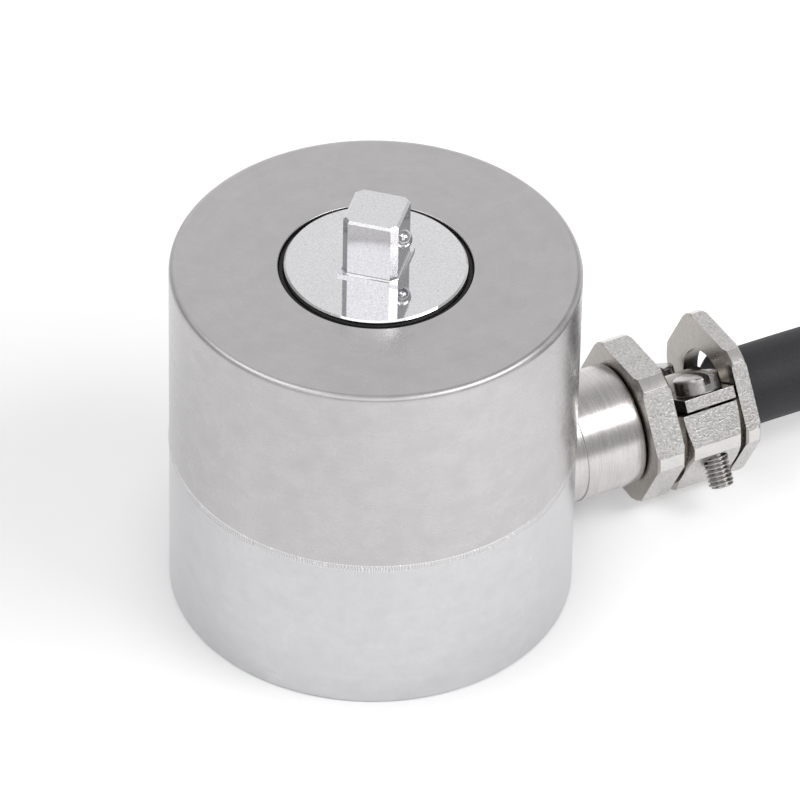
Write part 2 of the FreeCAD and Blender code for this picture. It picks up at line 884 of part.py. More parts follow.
def cable_coil():
    """The put-away cable: two turns side by side in two layers, the last one cut short."""
    inner = coil_inner_turn - cable_radius
    outer = coil_outer_turn + cable_radius
    low = coil_lift
    high = coil_lift + 4 * cable_radius
    coil = ring(inner, outer, low, high)
    for height in (low, high):
        coil = coil.makeFillet(cable_radius * coil_corner_share, edges_at_height(coil, height))
    middle = (inner + outer) / 2
    gap_floor = low + 2 * cable_radius
    rise = high + 1 - gap_floor
    sector = Part.makeCylinder(2 * outer, rise, UP * gap_floor, UP, coil_gap_angle)
    sector = sector.cut(cylinder(middle, low, high + 2))
    sector.rotate(ORIGIN, UP, coil_end_angle - coil_gap_angle)
    coil = coil.cut(sector)
    return coil.translated(Vector(coil_centre_x, coil_centre_y, 0))


def coil_point(advance, across, height):
    """A point over the outer turn, given by its distance past the jacket's cut end."""
    angle = math.radians(coil_end_angle) - advance / coil_outer_turn
    reach = coil_outer_turn + across
    x = coil_centre_x + reach * math.cos(angle)
    return Vector(x, coil_centre_y + reach * math.sin(angle), height)


def coil_end_height():
    """The height of the middle of the coil's upper turns."""
    return coil_height() + 2 * cable_radius


def coil_ties():
    """The two ties round the coil: a closed strap with its lock on top."""
    low_x = coil_inner_turn - cable_radius - tie_clearance
    high_x = coil_outer_turn + cable_radius + tie_clearance
    low_z = coil_lift - tie_clearance
    high_z = coil_lift + 4 * cable_radius + tie_clearance
    across = (-tie_width / 2, tie_width / 2)
    inner = block((low_x, high_x), (-tie_width, tie_width), (low_z, high_z))
    outer = block(
        (low_x - tie_thickness, high_x + tie_thickness),
        across,
        (low_z - tie_thickness, high_z + tie_thickness),
    )
    corner = cable_radius * tie_corner_share
    inner = inner.makeFillet(corner, lengthwise(inner, 2 * tie_width))
    outer = outer.makeFillet(corner + tie_thickness, lengthwise(outer, tie_width))
    middle = (low_x + high_x) / 2
    head = block(
        (middle - tie_head / 2, middle + tie_head / 2),
        (-tie_head / 2, tie_head / 2),
        (high_z + tie_thickness / 2, high_z + tie_thickness + tie_head_height),
    )
    strap = outer.fuse(head).cut(inner).removeSplitter()
    ties = []
    for place in tie_places:
        tie = strap.copy()
        tie.rotate(ORIGIN, UP, coil_entry_angle + place)
        ties.append(tie.translated(Vector(coil_centre_x, coil_centre_y, 0)))
    return Part.makeCompound(ties)


def lengthwise(shape, length):
    """The straight edges of a block that run along its whole Y length."""
    return [e for e in shape.Edges if abs(e.BoundBox.YLength - length) < 1e-6]


def boot_ends():
    """The centres of the boot's two ends."""
    return [coil_point(advance, 0, coil_end_height()) for advance in (0, boot_length)]


def end_boot():
    """The shrunk boot that closes the jacket's cut end round the cores."""
    start, end = boot_ends()
    return Part.makeCone(cable_radius, boot_tip_radius, (end - start).Length, start, end - start)


def lead_routes():
    """Each stripped core's points, from the boot down onto the turn below."""
    rest = coil_lift + 2 * cable_radius + lead_rest_gap + lead_radius
    start, end = boot_ends()
    way = (end - start).normalize()
    outward = UP.cross(way)
    routes = []
    for index in range(lead_count):
        pair = index // 2
        around = (pair + 0.5) * lead_bundle_pitch
        angle = math.pi + math.radians(-around if index % 2 else around)
        leaves = end + outward * (lead_bundle_radius * math.cos(angle))
        leaves += UP * (lead_bundle_radius * math.sin(angle))
        fanned = lead_fan_shift + lead_pitch * (index - (lead_count - 1) / 2)
        down = boot_length + lead_straight + lead_drop_run
        stops = [
            leaves,
            leaves + way * lead_straight,
            coil_point(down, fanned, rest),
            coil_point(down + lead_fan_run + lead_stagger * (index % 3), fanned, rest),
        ]
        routes.append(stops)
    return routes


def lead_cores():
    """The six stripped cores, fanned out on the turn below them."""
    return Part.makeCompound([tube_along(points, lead_radius) for points in lead_routes()])


def lead_ferrules():
    """The crimped ferrule on the end of each core: a collar and a bare pin."""
    ferrules = []
    for points in lead_routes():
        way = (points[-1] - points[-2]).normalize()
        mouth = points[-1] + way * ferrule_gap
        collar = Part.makeCylinder(ferrule_radius, ferrule_length, mouth, way)
        tip = mouth + way * ferrule_length
        pin = Part.makeCylinder(ferrule_pin_radius, ferrule_pin_length, tip, way)
        ferrules.append(collar.fuse(pin).removeSplitter())
    return Part.makeCompound(ferrules)


NODES = {
    "base_housing": base_housing,
    "upper_housing": upper_housing,
    "seam_weld": seam_weld,
    "torsion_shaft": torsion_shaft,
    "detent_ball": detent_ball,
    "detent_spring": detent_spring,
    "hub_seal": hub_seal,
    "foot_screws": foot_screws,
    "strain_gauges": strain_gauges,
    "terminal_board": terminal_board,
    "gauge_wires": gauge_wires,
    "cable_cores": cable_cores,
    "cable_boss": cable_boss,
    "seal_bush": seal_bush,
    "seal_washers": seal_washers,
    "pressure_screw": pressure_screw,
    "cable_lead": cable_lead,
    "clamp_strap": clamp_strap,
    "clamp_screw_near": clamp_screw_near,
    "clamp_screw_far": clamp_screw_far,
    "cable": cable,
    "cable_coil": cable_coil,
    "coil_ties": coil_ties,
    "end_boot": end_boot,
    "lead_cores": lead_cores,
    "lead_ferrules": lead_ferrules,
}


def main():
    """Builds every piece and writes it to its own file."""
    os.makedirs("parts", exist_ok=True)
    for name, build in NODES.items():
        shape = build()
        shape.exportStep("parts/" + name + ".step")
        print(name, len(shape.Solids), round(shape.Volume, 2), shape.isValid())


main()
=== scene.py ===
import logging
import math
from collections.abc import Callable
from dataclasses import dataclass
from enum import Enum

import bmesh
import bpy
import numpy as np
from mathutils import Matrix, Vector


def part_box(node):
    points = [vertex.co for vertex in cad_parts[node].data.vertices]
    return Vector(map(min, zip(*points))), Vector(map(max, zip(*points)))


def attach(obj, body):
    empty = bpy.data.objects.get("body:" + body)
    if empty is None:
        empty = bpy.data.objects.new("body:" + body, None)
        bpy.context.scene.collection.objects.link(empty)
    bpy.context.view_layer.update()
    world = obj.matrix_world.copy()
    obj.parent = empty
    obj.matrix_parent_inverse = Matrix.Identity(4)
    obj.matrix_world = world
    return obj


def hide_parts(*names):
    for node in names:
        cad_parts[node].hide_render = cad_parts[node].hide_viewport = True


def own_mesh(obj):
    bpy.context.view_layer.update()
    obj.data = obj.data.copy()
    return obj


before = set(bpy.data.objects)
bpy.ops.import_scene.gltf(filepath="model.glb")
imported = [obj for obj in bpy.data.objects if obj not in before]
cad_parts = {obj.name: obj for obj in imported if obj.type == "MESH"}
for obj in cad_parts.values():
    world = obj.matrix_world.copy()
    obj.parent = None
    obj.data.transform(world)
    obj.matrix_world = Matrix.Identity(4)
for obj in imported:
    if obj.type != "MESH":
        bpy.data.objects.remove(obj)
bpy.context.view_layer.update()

MM = 0.001
FULL_TURN = 2.0 * math.pi
Array = np.ndarray
Triple = tuple[float, float, float]
Color = tuple[float, float, float, float]

# Points nearer than these, in millimetres, are one point.
NUMERIC_DOUBLES = 2e-4
SOLID_DOUBLES = 2e-3

# Turns between neighbouring faces of a solid, in degrees.
FLAT_TURN = 0.4
BROKEN_FROM = 20.0
SOLID_SHARP = 24.0

log = logging.getLogger("torque_sensor")


class Body(Enum):
    """The CAD bodies that pieces ride on."""

    HOUSING = "housing"
    BALL = "detent_ball"


class Axis(Enum):
    """The line that a turned piece was turned about."""

    DRIVE = "z"
    GLAND = "x"


def math_node(operation: str, swapped: bool = False) -> Callable:
    """A method that adds one Math node over its signal and a number or another signal.

    Args:
        operation: what the node works out.
        swapped: the signal comes second, for a number to its left.

    Returns:
        The method, for the body of Signal.
    """

    def method(self: "Signal", other: object = 0.0) -> "Signal":
        """The node's output."""
        pair = (other, self) if swapped else (self, other)
        return self.shader.node("ShaderNodeMath", {"operation": operation}, *pair)

    return method


class Signal:
    """One shader socket that Python arithmetic turns into Math nodes."""

    __add__ = __radd__ = math_node("ADD")
    __sub__ = math_node("SUBTRACT")
    __rsub__ = math_node("SUBTRACT", swapped=True)
    __mul__ = __rmul__ = math_node("MULTIPLY")
    __truediv__ = math_node("DIVIDE")
    __pow__ = math_node("POWER")
    __abs__ = math_node("ABSOLUTE")
    sine = math_node("SINE")
    bearing = math_node("ARCTAN2")

    def __init__(self, shader: "Shader", socket: bpy.types.NodeSocket) -> None:
        """Keeps the socket and the shader that it belongs to."""
        self.shader = shader
        self.socket = socket

    def swing(self, amount: float) -> "Signal":
        """A value from 0 to 1 made to run from minus the amount to plus the amount."""
        return (self - 0.5) * (2 * amount)

    def step(self, low: float, high: float) -> "Signal":
        """A smooth rise from 0 at low to 1 at high."""
        return self.shader.node(
            "ShaderNodeMapRange",
            {"interpolation_type": "SMOOTHSTEP"},
            **{"Value": self, "From Min": low, "From Max": high, "To Min": 0.0, "To Max": 1.0},
        )


class Shader:
    """A node tree that is filled in by expressions."""

    def __init__(self, tree: bpy.types.NodeTree) -> None:
        """Empties the tree."""
        self.tree = tree
        tree.nodes.clear()

    def node(
        self,
        kind: str,
        settings: dict | None = None,
        *values: object,
        out: int | str = 0,
        **named: object,
    ) -> Signal | None:
        """Adds one node.

        Args:
            kind: the node's type.
            settings: attributes, or a ramp's stops, that are set before the sockets.
            values: values or links of the first input sockets, in order.
            out: the output socket that is wanted.
            named: values or links of input sockets by name.

        Returns:
            The output as a signal, or None for a node that ends the tree.
        """
        made = self.tree.nodes.new(kind)
        for name, value in (settings or {}).items():
            if name == "stops":
                self.fill_ramp(made.color_ramp, value)
            else:
                setattr(made, name, value)
        for key, value in list(enumerate(values)) + list(named.items()):
            self.feed(made.inputs[key], value)
        return Signal(self, made.outputs[out]) if made.outputs else None

    def feed(self, socket: bpy.types.NodeSocket, value: object) -> None:
        """Links a signal to a socket, or sets the socket's own value."""
        if isinstance(value, Signal):
            self.tree.links.new(value.socket, socket)
        elif value is not None:
            socket.default_value = value

    @staticmethod
    def fill_ramp(ramp: bpy.types.ColorRamp, colors: tuple[Triple, ...]) -> None:
        """Divides a ramp evenly among plain colours, with no blend between them."""
        ramp.interpolation = "CONSTANT"
        for index, color in enumerate(colors):
            where = index / len(colors)
            stop = ramp.elements[index] if index < 2 else ramp.elements.new(where)
            stop.position = where
            stop.color = rgba(*color)

    def place(self) -> Signal:
        """The place on the object, in millimetres."""
        raw = self.node("ShaderNodeTexCoord", out="Object")
        return self.scaled(raw, (1 / MM, 1 / MM, 1 / MM))

    def scaled(self, vector: Signal, factors: Triple) -> Signal:
        """A vector times one factor for each axis."""
        return self.node("ShaderNodeVectorMath", {"operation": "MULTIPLY"}, vector, factors)

    def split(self, vector: Signal) -> tuple[Signal, Signal, Signal]:
        """The three parts of a vector."""
        made = self.node("ShaderNodeSeparateXYZ", None, vector)
        outputs = made.socket.node.outputs
        return tuple(Signal(self, outputs[k]) for k in range(3))

    def joined(self, x: object, y: object, z: object) -> Signal:
        """A vector from three numbers or signals."""
        return self.node("ShaderNodeCombineXYZ", None, x, y, z)

    def noise(self, vector: Signal, scale: float, detail: float = 2.0, rough: float = 0.5) -> Signal:
        """Fractal noise between 0 and 1."""
        return self.node(
            "ShaderNodeTexNoise",
            {"noise_dimensions": "3D"},
            **{"Vector": vector, "Scale": scale, "Detail": detail, "Roughness": rough},
        )

    def mix(self, factor: object, first: object, second: object) -> Signal:
        """A colour between two colours."""
        made = self.node("ShaderNodeMix", {"data_type": "RGBA"}, out=2)
        inputs = made.socket.node.inputs
        for socket, value in ((inputs[0], factor), (inputs[6], first), (inputs[7], second)):
            self.feed(socket, value)
        return made

    def toned(self, tone: Triple, level: Signal) -> Signal:
        """A tone times a level between 0 and 2, mixed from black and twice the tone."""
        return self.mix(level * 0.5, rgba(0.0, 0.0, 0.0), grey(tone, 2.0))

    def surface(self, relief: tuple[Signal, float] | None = None, **sockets: object) -> None:
        """Ends the tree with one Principled surface.

        Args:
            relief: a height that bumps the surface, and its depth in millimetres.
            sockets: the surface's values or links by name, with _ for a space.
        """
        named = {key.replace("_", " "): value for key, value in sockets.items()}
        if relief:
            height, depth = relief
            bump = {"Height": height, "Strength": 1.0, "Distance": depth * MM}
            named["Normal"] = self.node("ShaderNodeBump", None, **bump)
        principled = self.node("ShaderNodeBsdfPrincipled", None, **named)
        self.node("ShaderNodeOutputMaterial", None, principled)


def rgba(red: float, green: float, blue: float) -> Color:
    """An opaque colour."""
    return (red, green, blue, 1.0)


def grey(tone: Triple, factor: float) -> Color:
    """A colour made lighter or darker."""
    return rgba(*(part * factor for part in tone))


@dataclass(frozen=True)
class Finish:
    """What every finish shares: its name, and a surface drawn over the place on the piece."""

    name: str

    def build(self) -> bpy.types.Material:
        """Makes the material."""
        material = bpy.data.materials.new(self.name)
        material.use_nodes = True
        shader = Shader(material.node_tree)
        self.fill(shader, shader.place())
        return material

    def fill(self, shader: Shader, place: Signal) -> None:
        """Draws the surface; every kind of finish has its own."""
        raise NotImplementedError


@dataclass(frozen=True)
class TurnedMetal(Finish):
    """Metal with fine turning lines about an axis, and faint cloudy patches.

    The lines are noise over (s (r + c h), b cos t, b sin t), with r the distance from the axis,
    h the height along it and t the angle about it, so they run in circles on end faces and round
    the wall on cylinders. The streaks are the same with a coarser s.
    """

    tone: Triple
    roughness: float
    axis: Axis = Axis.DRIVE
    centre_height: float = 0.0
    line_scale: float = 9.0
    line_bend: float = 1.1
    wall_share: float = 0.93
    line_depth: float = 0.0012
    line_contrast: float = 0.05
    line_rough: float = 0.03
    streak_scale: float = 1.3
    streak_bend: float = 2.2
    streak_contrast: float = 0.03
    patch_size: float = 9.0
    patch_contrast: float = 0.06
    patch_rough: float = 0.05
    grain_scale: float = 1.8
    grain_contrast: float = 0.05
    rim_reach: float = 1000.0
    rim_height: float = 43.4
    rim_rough: float = 0.0

    def fill(self, shader: Shader, place: Signal) -> None:
        """Draws the lines, streaks, patches and grain, and a rougher rim where there is one."""
        x, y, z = shader.split(place)
        if self.axis is Axis.GLAND:
            along, first, second = x, y, z - self.centre_height
        else:
            along, first, second = z, x, y
        reach = (first * first + second * second + 1e-6) ** 0.5
        cosine, sine = first / reach, second / reach
        line_place = shader.joined(
            reach * self.line_scale + along * (self.line_scale * self.wall_share),
            cosine * self.line_bend,
            sine * self.line_bend,
        )
        lines = shader.noise(line_place, 1.0, 3.0, 0.65)
        streak_place = shader.joined(
            (reach + along) * self.streak_scale,
            cosine * self.streak_bend,
            sine * self.streak_bend,
        )
        streaks = shader.noise(streak_place, 1.0)
        patches = shader.noise(place, 1.0 / self.patch_size, 4.0, 0.6)
        level = (
            1.0
            + lines.swing(self.line_contrast)
            + streaks.swing(self.streak_contrast)
            + patches.swing(self.patch_contrast)
            + shader.noise(place, self.grain_scale).swing(self.grain_contrast)
        )
        rough = self.roughness + patches.swing(self.patch_rough) + lines.swing(self.line_rough)
        if self.rim_rough:
            outer = reach.step(self.rim_reach, self.rim_reach + 0.25)
            upper = z.step(self.rim_height, self.rim_height + 0.4)
            rough = rough + outer * upper * (self.rim_rough * (0.5 + patches))
        shader.surface(
            (lines, self.line_depth),
            Base_Color=shader.toned(self.tone, level),
            Metallic=1.0,
            Roughness=rough,
        )


@dataclass(frozen=True)
class WeldedMetal(Finish):
    """A weld bead: slanting ripples round the drive axis, a painted highlight along each edge and a
    few bright spots.

    The ripples are sin(n t + k |z - s| + w noise), with t the angle about the axis, z the height
    and s the seam's height. A slow noise fades them in and out.
    """

    tone: Triple = (0.57, 0.56, 0.565)
    roughness: float = 0.27
    seam: float = 19.85
    # Painted highlight: where the lighter band along each edge of the bead starts and ends, from the
    # seam's middle.
    edge_highlight_start: float = 0.31
    edge_highlight_end: float = 0.37
    ripples: float = 470.0
    slant: float = 5.0
    wander: float = 16.0
    ripple_depth: float = 0.006
    ripple_contrast: float = 0.16
    # Painted highlight: how much lighter the bead's edges are painted.
    edge_highlight_gain: float = 0.32
    spot_contrast: float = 0.35
    spot_polish: float = 0.1

    def fill(self, shader: Shader, place: Signal) -> None:
        """Draws the ripples, the painted edge highlights and the spots."""
        x, y, z = shader.split(place)
        off = abs(z - self.seam)
        bend = shader.noise(place, 0.8, 3.0)
        ripple = (y.bearing(x) * self.ripples + off * self.slant + bend * self.wander).sine()
        # Painted highlight: the bead's outer edges are painted lighter, as if they caught the light.
        painted_edge_highlight = off.step(self.edge_highlight_start, self.edge_highlight_end)
        spots = shader.noise(place, 2.6).step(0.6, 0.72)
        strength = shader.noise(place, 0.22) * (2 * self.ripple_contrast)
        level = 1.0 + ripple * strength + spots * self.spot_contrast + painted_edge_highlight * self.edge_highlight_gain
        shader.surface(
            (ripple, self.ripple_depth),
            Base_Color=shader.toned(self.tone, level),
            Metallic=1.0,
            Roughness=self.roughness - spots * self.spot_polish,
        )


@dataclass(frozen=True)
class PolishedMetal(Finish):
    """Near mirror metal with a fine grain, hair lines and a few specks."""

    tone: Triple
    roughness: float
    haze: float = 0.03
    haze_contrast: float = 0.03
    grain_scale: float = 4.4
    grain_contrast: float = 0.3
    speck_scale: float = 0.9
    speck_contrast: float = 0.35
    speck_rough: float = 0.25
    relief: float = 0.0006
    rough_above: float = 1000.0
    added_rough: float = 0.0

    def fill(self, shader: Shader, place: Signal) -> None:
        """Draws the haze, grain, hair lines and specks, and a rougher upper part if there is one."""
        haze = shader.noise(place, 0.35, 3.0)
        hairs = shader.noise(shader.scaled(place, (0.6, 9.0, 0.6)), 1.0)
        dots = shader.node(
            "ShaderNodeTexVoronoi",
            {"feature": "F1"},
            **{"Vector": place, "Scale": self.speck_scale, "Randomness": 1.0},
        )
        rare = shader.noise(place, 0.7, 0.0).step(0.56, 0.6)
        specks = (1.0 - dots.step(0.04, 0.12)) * rare
        grain = shader.noise(place, self.grain_scale, 2.0, 0.7)
        level = (
            1.0
            + haze.swing(self.haze_contrast)
            - specks * self.speck_contrast
            + grain.swing(self.grain_contrast)
        )
        rough = self.roughness + haze * self.haze + specks * self.speck_rough
        if self.added_rough:
            _, _, z = shader.split(place)
            rough = rough + z.step(self.rough_above, self.rough_above + 0.4) * self.added_rough
        height = shader.noise(place, 0.25, 1.0) + hairs * 0.15 + grain * 0.35
        shader.surface(
            (height, self.relief),
            Base_Color=shader.toned(self.tone, level),
            Metallic=1.0,
            Roughness=rough,
        )


@dataclass(frozen=True)
class GrainyMetal(Finish):
    """Plated bar stock with a fine sandy grain and faint stains."""

    tone: Triple
    roughness: float
    grain_scale: float = 3.8
    grain_depth: float = 0.07
    grain_contrast: float = 0.85
    stain_share: float = 0.25
    stain: Triple = (0.50, 0.45, 0.40)
    grain_rough: float = 0.08
    broad_contrast: float = 0.05
    broad_rough: float = 0.04

    def fill(self, shader: Shader, place: Signal) -> None:
        """Draws the grain, a broad unevenness and the stains."""
        grain = shader.noise(place, self.grain_scale, 3.0, 0.7)
        broad = shader.noise(place, 0.5)
        level = 1.0 + grain.swing(self.grain_contrast) + broad.swing(self.broad_contrast)
        stains = shader.noise(place, 0.9, 3.0).step(0.5, 0.75) * self.stain_share
        shader.surface(
            (grain, self.grain_depth),
            Base_Color=shader.mix(stains, shader.toned(self.tone, level), rgba(*self.stain)),
            Metallic=1.0,
            Roughness=self.roughness + grain.swing(self.grain_rough) + broad.swing(self.broad_rough),
        )


@dataclass(frozen=True)
class SoftSkin(Finish):
    """Rubber or plastic: a base colour with fine grain and a slight unevenness."""

    tone: Triple
    roughness: float
    grain_scale: float = 6.0
    grain_depth: float = 0.01
    contrast: float = 0.12
    broad_contrast: float = 0.1
    broad_rough: float = 0.06
    lint: float = 0.0
    lint_factor: float = 2.6

    def fill(self, shader: Shader, place: Signal) -> None:
        """Draws the grain and the unevenness, and lint where there is some."""
        grain = shader.noise(place, self.grain_scale, 2.0, 0.6)
        broad = shader.noise(place, 0.25)
        level = 1.0 + grain.swing(self.contrast) + broad.swing(self.broad_contrast)
        color = shader.toned(self.tone, level)
        if self.lint:
            dust = shader.noise(place, 2.7, 1.0).step(0.68, 0.76) * self.lint
            color = shader.mix(dust, color, grey(self.tone, self.lint_factor))
        shader.surface(
            (grain, self.grain_depth),
            Base_Color=color,
            Roughness=self.roughness + broad.swing(self.broad_rough),
        )


@dataclass(frozen=True)
class CoreColors(Finish):
    """Insulation in one plain colour for each separate core."""

    colors: tuple[Triple, ...] = (
        (0.55, 0.02, 0.02),
        (0.015, 0.015, 0.015),
        (0.03, 0.28, 0.07),
        (0.62, 0.60, 0.56),
        (0.60, 0.42, 0.03),
        (0.04, 0.10, 0.42),
    )
    shade: Triple = (0.02, 0.02, 0.02)
    roughness: float = 0.4

    def fill(self, shader: Shader, place: Signal) -> None:
        """Picks a colour for each separate core and darkens it a little by a grain."""
        pick = shader.node("ShaderNodeNewGeometry", out="Random Per Island")
        ramp = shader.node("ShaderNodeValToRGB", {"stops": self.colors}, pick)
        grain = shader.noise(place, 5.0)
        shader.surface(
            (grain, 0.006),
            Base_Color=shader.mix((grain - 0.35) * 0.25, ramp, rgba(*self.shade)),
            Roughness=self.roughness,
        )


@dataclass(frozen=True)
class CircuitBoard(Finish):
    """Green laminate with tinned pads on a ring of solder points."""

    dark: Triple = (0.03, 0.16, 0.06)
    light: Triple = (0.05, 0.24, 0.09)
    tin: Triple = (0.72, 0.70, 0.64)
    pad_circle: float = 9.6
    pad_flat: float = 0.6
    pad_radius: float = 0.75
    pad_count: float = 12.0

    def fill(self, shader: Shader, place: Signal) -> None:
        """Draws the weave and the pads, which are discs at even angles on one circle."""
        x, y, _ = shader.split(place)
        reach = (x * x + y * y) ** 0.5
        beat = (y.bearing(x) * self.pad_count + math.pi).sine()
        ring = 1.0 - abs(reach - self.pad_circle).step(self.pad_flat, self.pad_radius)
        pads = ring * beat.step(0.3, 0.45)
        weave = shader.noise(shader.scaled(place, (3.0, 3.0, 1.0)), 1.0)
        laminate = shader.mix(weave, rgba(*self.dark), rgba(*self.light))
        shader.surface(
            (weave + pads, 0.02),
            Base_Color=shader.mix(pads, laminate, rgba(*self.tin)),
            Metallic=pads,
            Roughness=0.42 - pads * 0.15,
        )


@dataclass(frozen=True)
class GaugeFoil(Finish):
    """Amber film with a metal grid of fine lines."""

    film_dark: Triple = (0.45, 0.24, 0.05)
    film_light: Triple = (0.6, 0.35, 0.09)
    grid: Triple = (0.62, 0.58, 0.5)
    grid_share: float = 0.8
    grid_scale: float = 15.0

    def fill(self, shader: Shader, place: Signal) -> None:
        """Draws the film and its grid, a sine of the height."""
        _, _, z = shader.split(place)
        lines = (z * self.grid_scale).sine().step(-0.2, 0.4)
        grain = shader.noise(place, 3.0)
        film = shader.mix(grain, rgba(*self.film_dark), rgba(*self.film_light))
        metal = lines * self.grid_share
        shader.surface(
            (lines, 0.01),
            Base_Color=shader.mix(metal, film, rgba(*self.grid)),
            Metallic=metal,
            Roughness=0.35 + grain * 0.1,
        )


@dataclass(frozen=True)
class FloorPaper(Finish):
    """Matt white paper with a faint painted glow away from the sensor: painted light, for the paper
    is no lamp.

    The painted glow grows from none at the sensor's foot to all of it a little way off, and from a
    share of it on the left of the view to all of it on the right, so it paints light over the
    floor's soft shadows away from the foot.
    """

    tone: Triple = (0.88, 0.88, 0.885)
    roughness: float = 0.7
    gloss: float = 0.2
    painted_glow: float = 0.3
    painted_glow_start: float = 16.0
    painted_glow_end: float = 33.0
    left_share: float = 0.3
    half_view: float = 70.0
    view_right: tuple[float, float] = (0.879, -0.477)

    def fill(self, shader: Shader, place: Signal) -> None:
        """Draws the paper's grain and its painted glow."""
        x, y, _ = shader.split(place)
        across = x * self.view_right[0] + y * self.view_right[1]
        right = across.step(-self.half_view, self.half_view)
        reach = (x * x + y * y) ** 0.5
        share = self.left_share + (1.0 - self.left_share) * right
        # Painted light: the floor's own glow, none at the sensor's foot and stronger towards the
        # right of the view.
        painted_glow = share * reach.step(self.painted_glow_start, self.painted_glow_end)
        grain = shader.noise(place, 0.8)
        shader.surface(
            Base_Color=shader.mix(grain, rgba(*self.tone), grey(self.tone, 1.02)),
            Roughness=self.roughness,
            Specular_IOR_Level=self.gloss,
            Emission_Color=shader.mix(painted_glow, rgba(0.0, 0.0, 0.0), rgba(1.0, 1.0, 1.0)),
            Emission_Strength=self.painted_glow,
        )


STEEL = (0.510, 0.498, 0.501)
CUP_STEEL = (0.590, 0.588, 0.601)
BRIGHT_STEEL = (0.720, 0.715, 0.730)
NICKEL = (0.60, 0.588, 0.578)

FINISHES: dict[str, Finish] = {
    "cap": TurnedMetal(
        "cap_turned_steel",
        STEEL,
        0.27,
        line_depth=0.0003,
        line_contrast=0.022,
        patch_size=2.8,
        patch_contrast=0.12,
        grain_contrast=0.015,
        rim_reach=22.3,
        rim_rough=0.11,
    ),
    "cup": TurnedMetal(
        "cup_turned_steel",
        CUP_STEEL,
        0.25,
        line_depth=0.0003,
        line_contrast=0.01,
        patch_size=2.2,
        patch_contrast=0.09,
        grain_contrast=0.03,
    ),
    "weld": WeldedMetal("weld_bead_steel"),
    "shaft": PolishedMetal(
        "shaft_polished_steel", BRIGHT_STEEL, 0.045, rough_above=45.3, added_rough=0.1
    ),
    "ball": PolishedMetal("ball_chrome_steel", (0.56, 0.56, 0.57), 0.03, haze=0.01),
    "spring": PolishedMetal("spring_wire_steel", (0.5, 0.5, 0.5), 0.2),
    "seal": SoftSkin("seal_rubber_black", (0.004, 0.004, 0.004), 0.6, contrast=0.2),
    "bush": SoftSkin("bush_rubber_black", (0.02, 0.02, 0.02), 0.5),
    "screw": TurnedMetal("plain_screw_steel", (0.55, 0.55, 0.54), 0.3, line_scale=5.0),
    "boss": TurnedMetal(
        "boss_turned_steel",
        (0.60, 0.58, 0.575),
        0.26,
        axis=Axis.GLAND,
        centre_height=9.6,
        line_scale=6.5,
        line_depth=0.006,
        line_contrast=0.26,
        streak_contrast=0.10,
        patch_contrast=0.05,
        grain_scale=5.0,
        grain_contrast=0.16,
    ),
    "bar": GrainyMetal("gland_bar_grain", NICKEL, 0.31),
    "faced": GrainyMetal(
        "gland_faced_ends",
        (0.40, 0.375, 0.35),
        0.24,
        grain_scale=2.2,
        grain_depth=0.006,
        grain_contrast=0.3,
        stain_share=0.5,
    ),
    "strip": GrainyMetal(
        "gland_turned_corners",
        (0.64, 0.625, 0.61),
        0.2,
        grain_scale=3.0,
        grain_depth=0.003,
        grain_contrast=0.12,
        stain_share=0.1,
    ),
    "clamp_screw": GrainyMetal(
        "clamp_screw_steel_plated",
        (0.43, 0.42, 0.41),
        0.22,
        grain_scale=1.8,
        grain_depth=0.012,
        grain_contrast=0.25,
        stain_share=0.4,
    ),
    "jacket": SoftSkin(
        "cable_jacket_dark_grey",
        (0.0185, 0.018, 0.0215),
        0.62,
        contrast=0.8,
        grain_depth=0.012,
        lint=0.4,
    ),
    "tie": SoftSkin("tie_nylon_black", (0.014, 0.014, 0.014), 0.38),
    "boot": SoftSkin("boot_shrink_black", (0.012, 0.012, 0.012), 0.45),
    "tin": PolishedMetal("ferrule_tin", (0.7, 0.69, 0.66), 0.22),
    "enamel": SoftSkin("wire_enamel_red", (0.45, 0.13, 0.05), 0.3),
    "cores": CoreColors("core_insulation_colors"),
    "board": CircuitBoard("board_green_laminate"),
    "foil": GaugeFoil("gauge_foil_amber"),
}


def rounded_outline(corners: list[Triple], steps: int = 6, support: float = 0.06) -> Array:
    """A closed outline whose corners are rounded by tangent arcs.

    At a corner P with unit directions a in and b out and turn t, an arc of radius q starts at
    P - a q tan(t/2) and ends at P + b q tan(t/2). A support point stands just outside each end,
    which keeps the flats flat when the outline is shaded smoothly.

    Args:
        corners: first coordinate, second coordinate and arc radius of each.
        steps: how many pieces each arc has.
        support: how far the support points stand off, in millimetres.

    Returns:
        The outline's points in order, in millimetres.
    """
    table = np.array(corners)
    place, radius = table[:, :2], table[:, 2:]
    into = place - np.roll(place, 1, 0)
    out = np.roll(place, -1, 0) - place
    run_in = np.linalg.norm(into, axis=1, keepdims=True)
    run_out = np.linalg.norm(out, axis=1, keepdims=True)
    into, out = into / run_in, out / run_out
    cross = into[:, :1] * out[:, 1:] - into[:, 1:] * out[:, :1]
    dot = (into * out).sum(1, keepdims=True)
    turn = np.arctan2(cross, dot)
    trim = radius * np.tan(np.abs(turn) / 2)
    start = place - into * trim
    left = np.concatenate([-into[:, 1:], into[:, :1]], 1)
    centre = start + left * radius * np.sign(turn)
    angle = turn * np.linspace(0.0, 1.0, steps + 1)[None, :]
    spoke = start - centre
    arc = centre[:, None, :] + np.stack(
        [
            spoke[:, :1] * np.cos(angle) - spoke[:, 1:] * np.sin(angle),
            spoke[:, :1] * np.sin(angle) + spoke[:, 1:] * np.cos(angle),
        ],
        -1,
    )
    near = np.minimum(support, 0.25 * (run_in - trim - np.roll(trim, 1, 0)))
    far = np.minimum(support, 0.25 * (run_out - trim - np.roll(trim, -1, 0)))
    first = (arc[:, 0] - into * near)[:, None]
    last = (arc[:, -1] + out * far)[:, None]
    return np.concatenate([first, arc, last], 1).reshape(-1, 2)


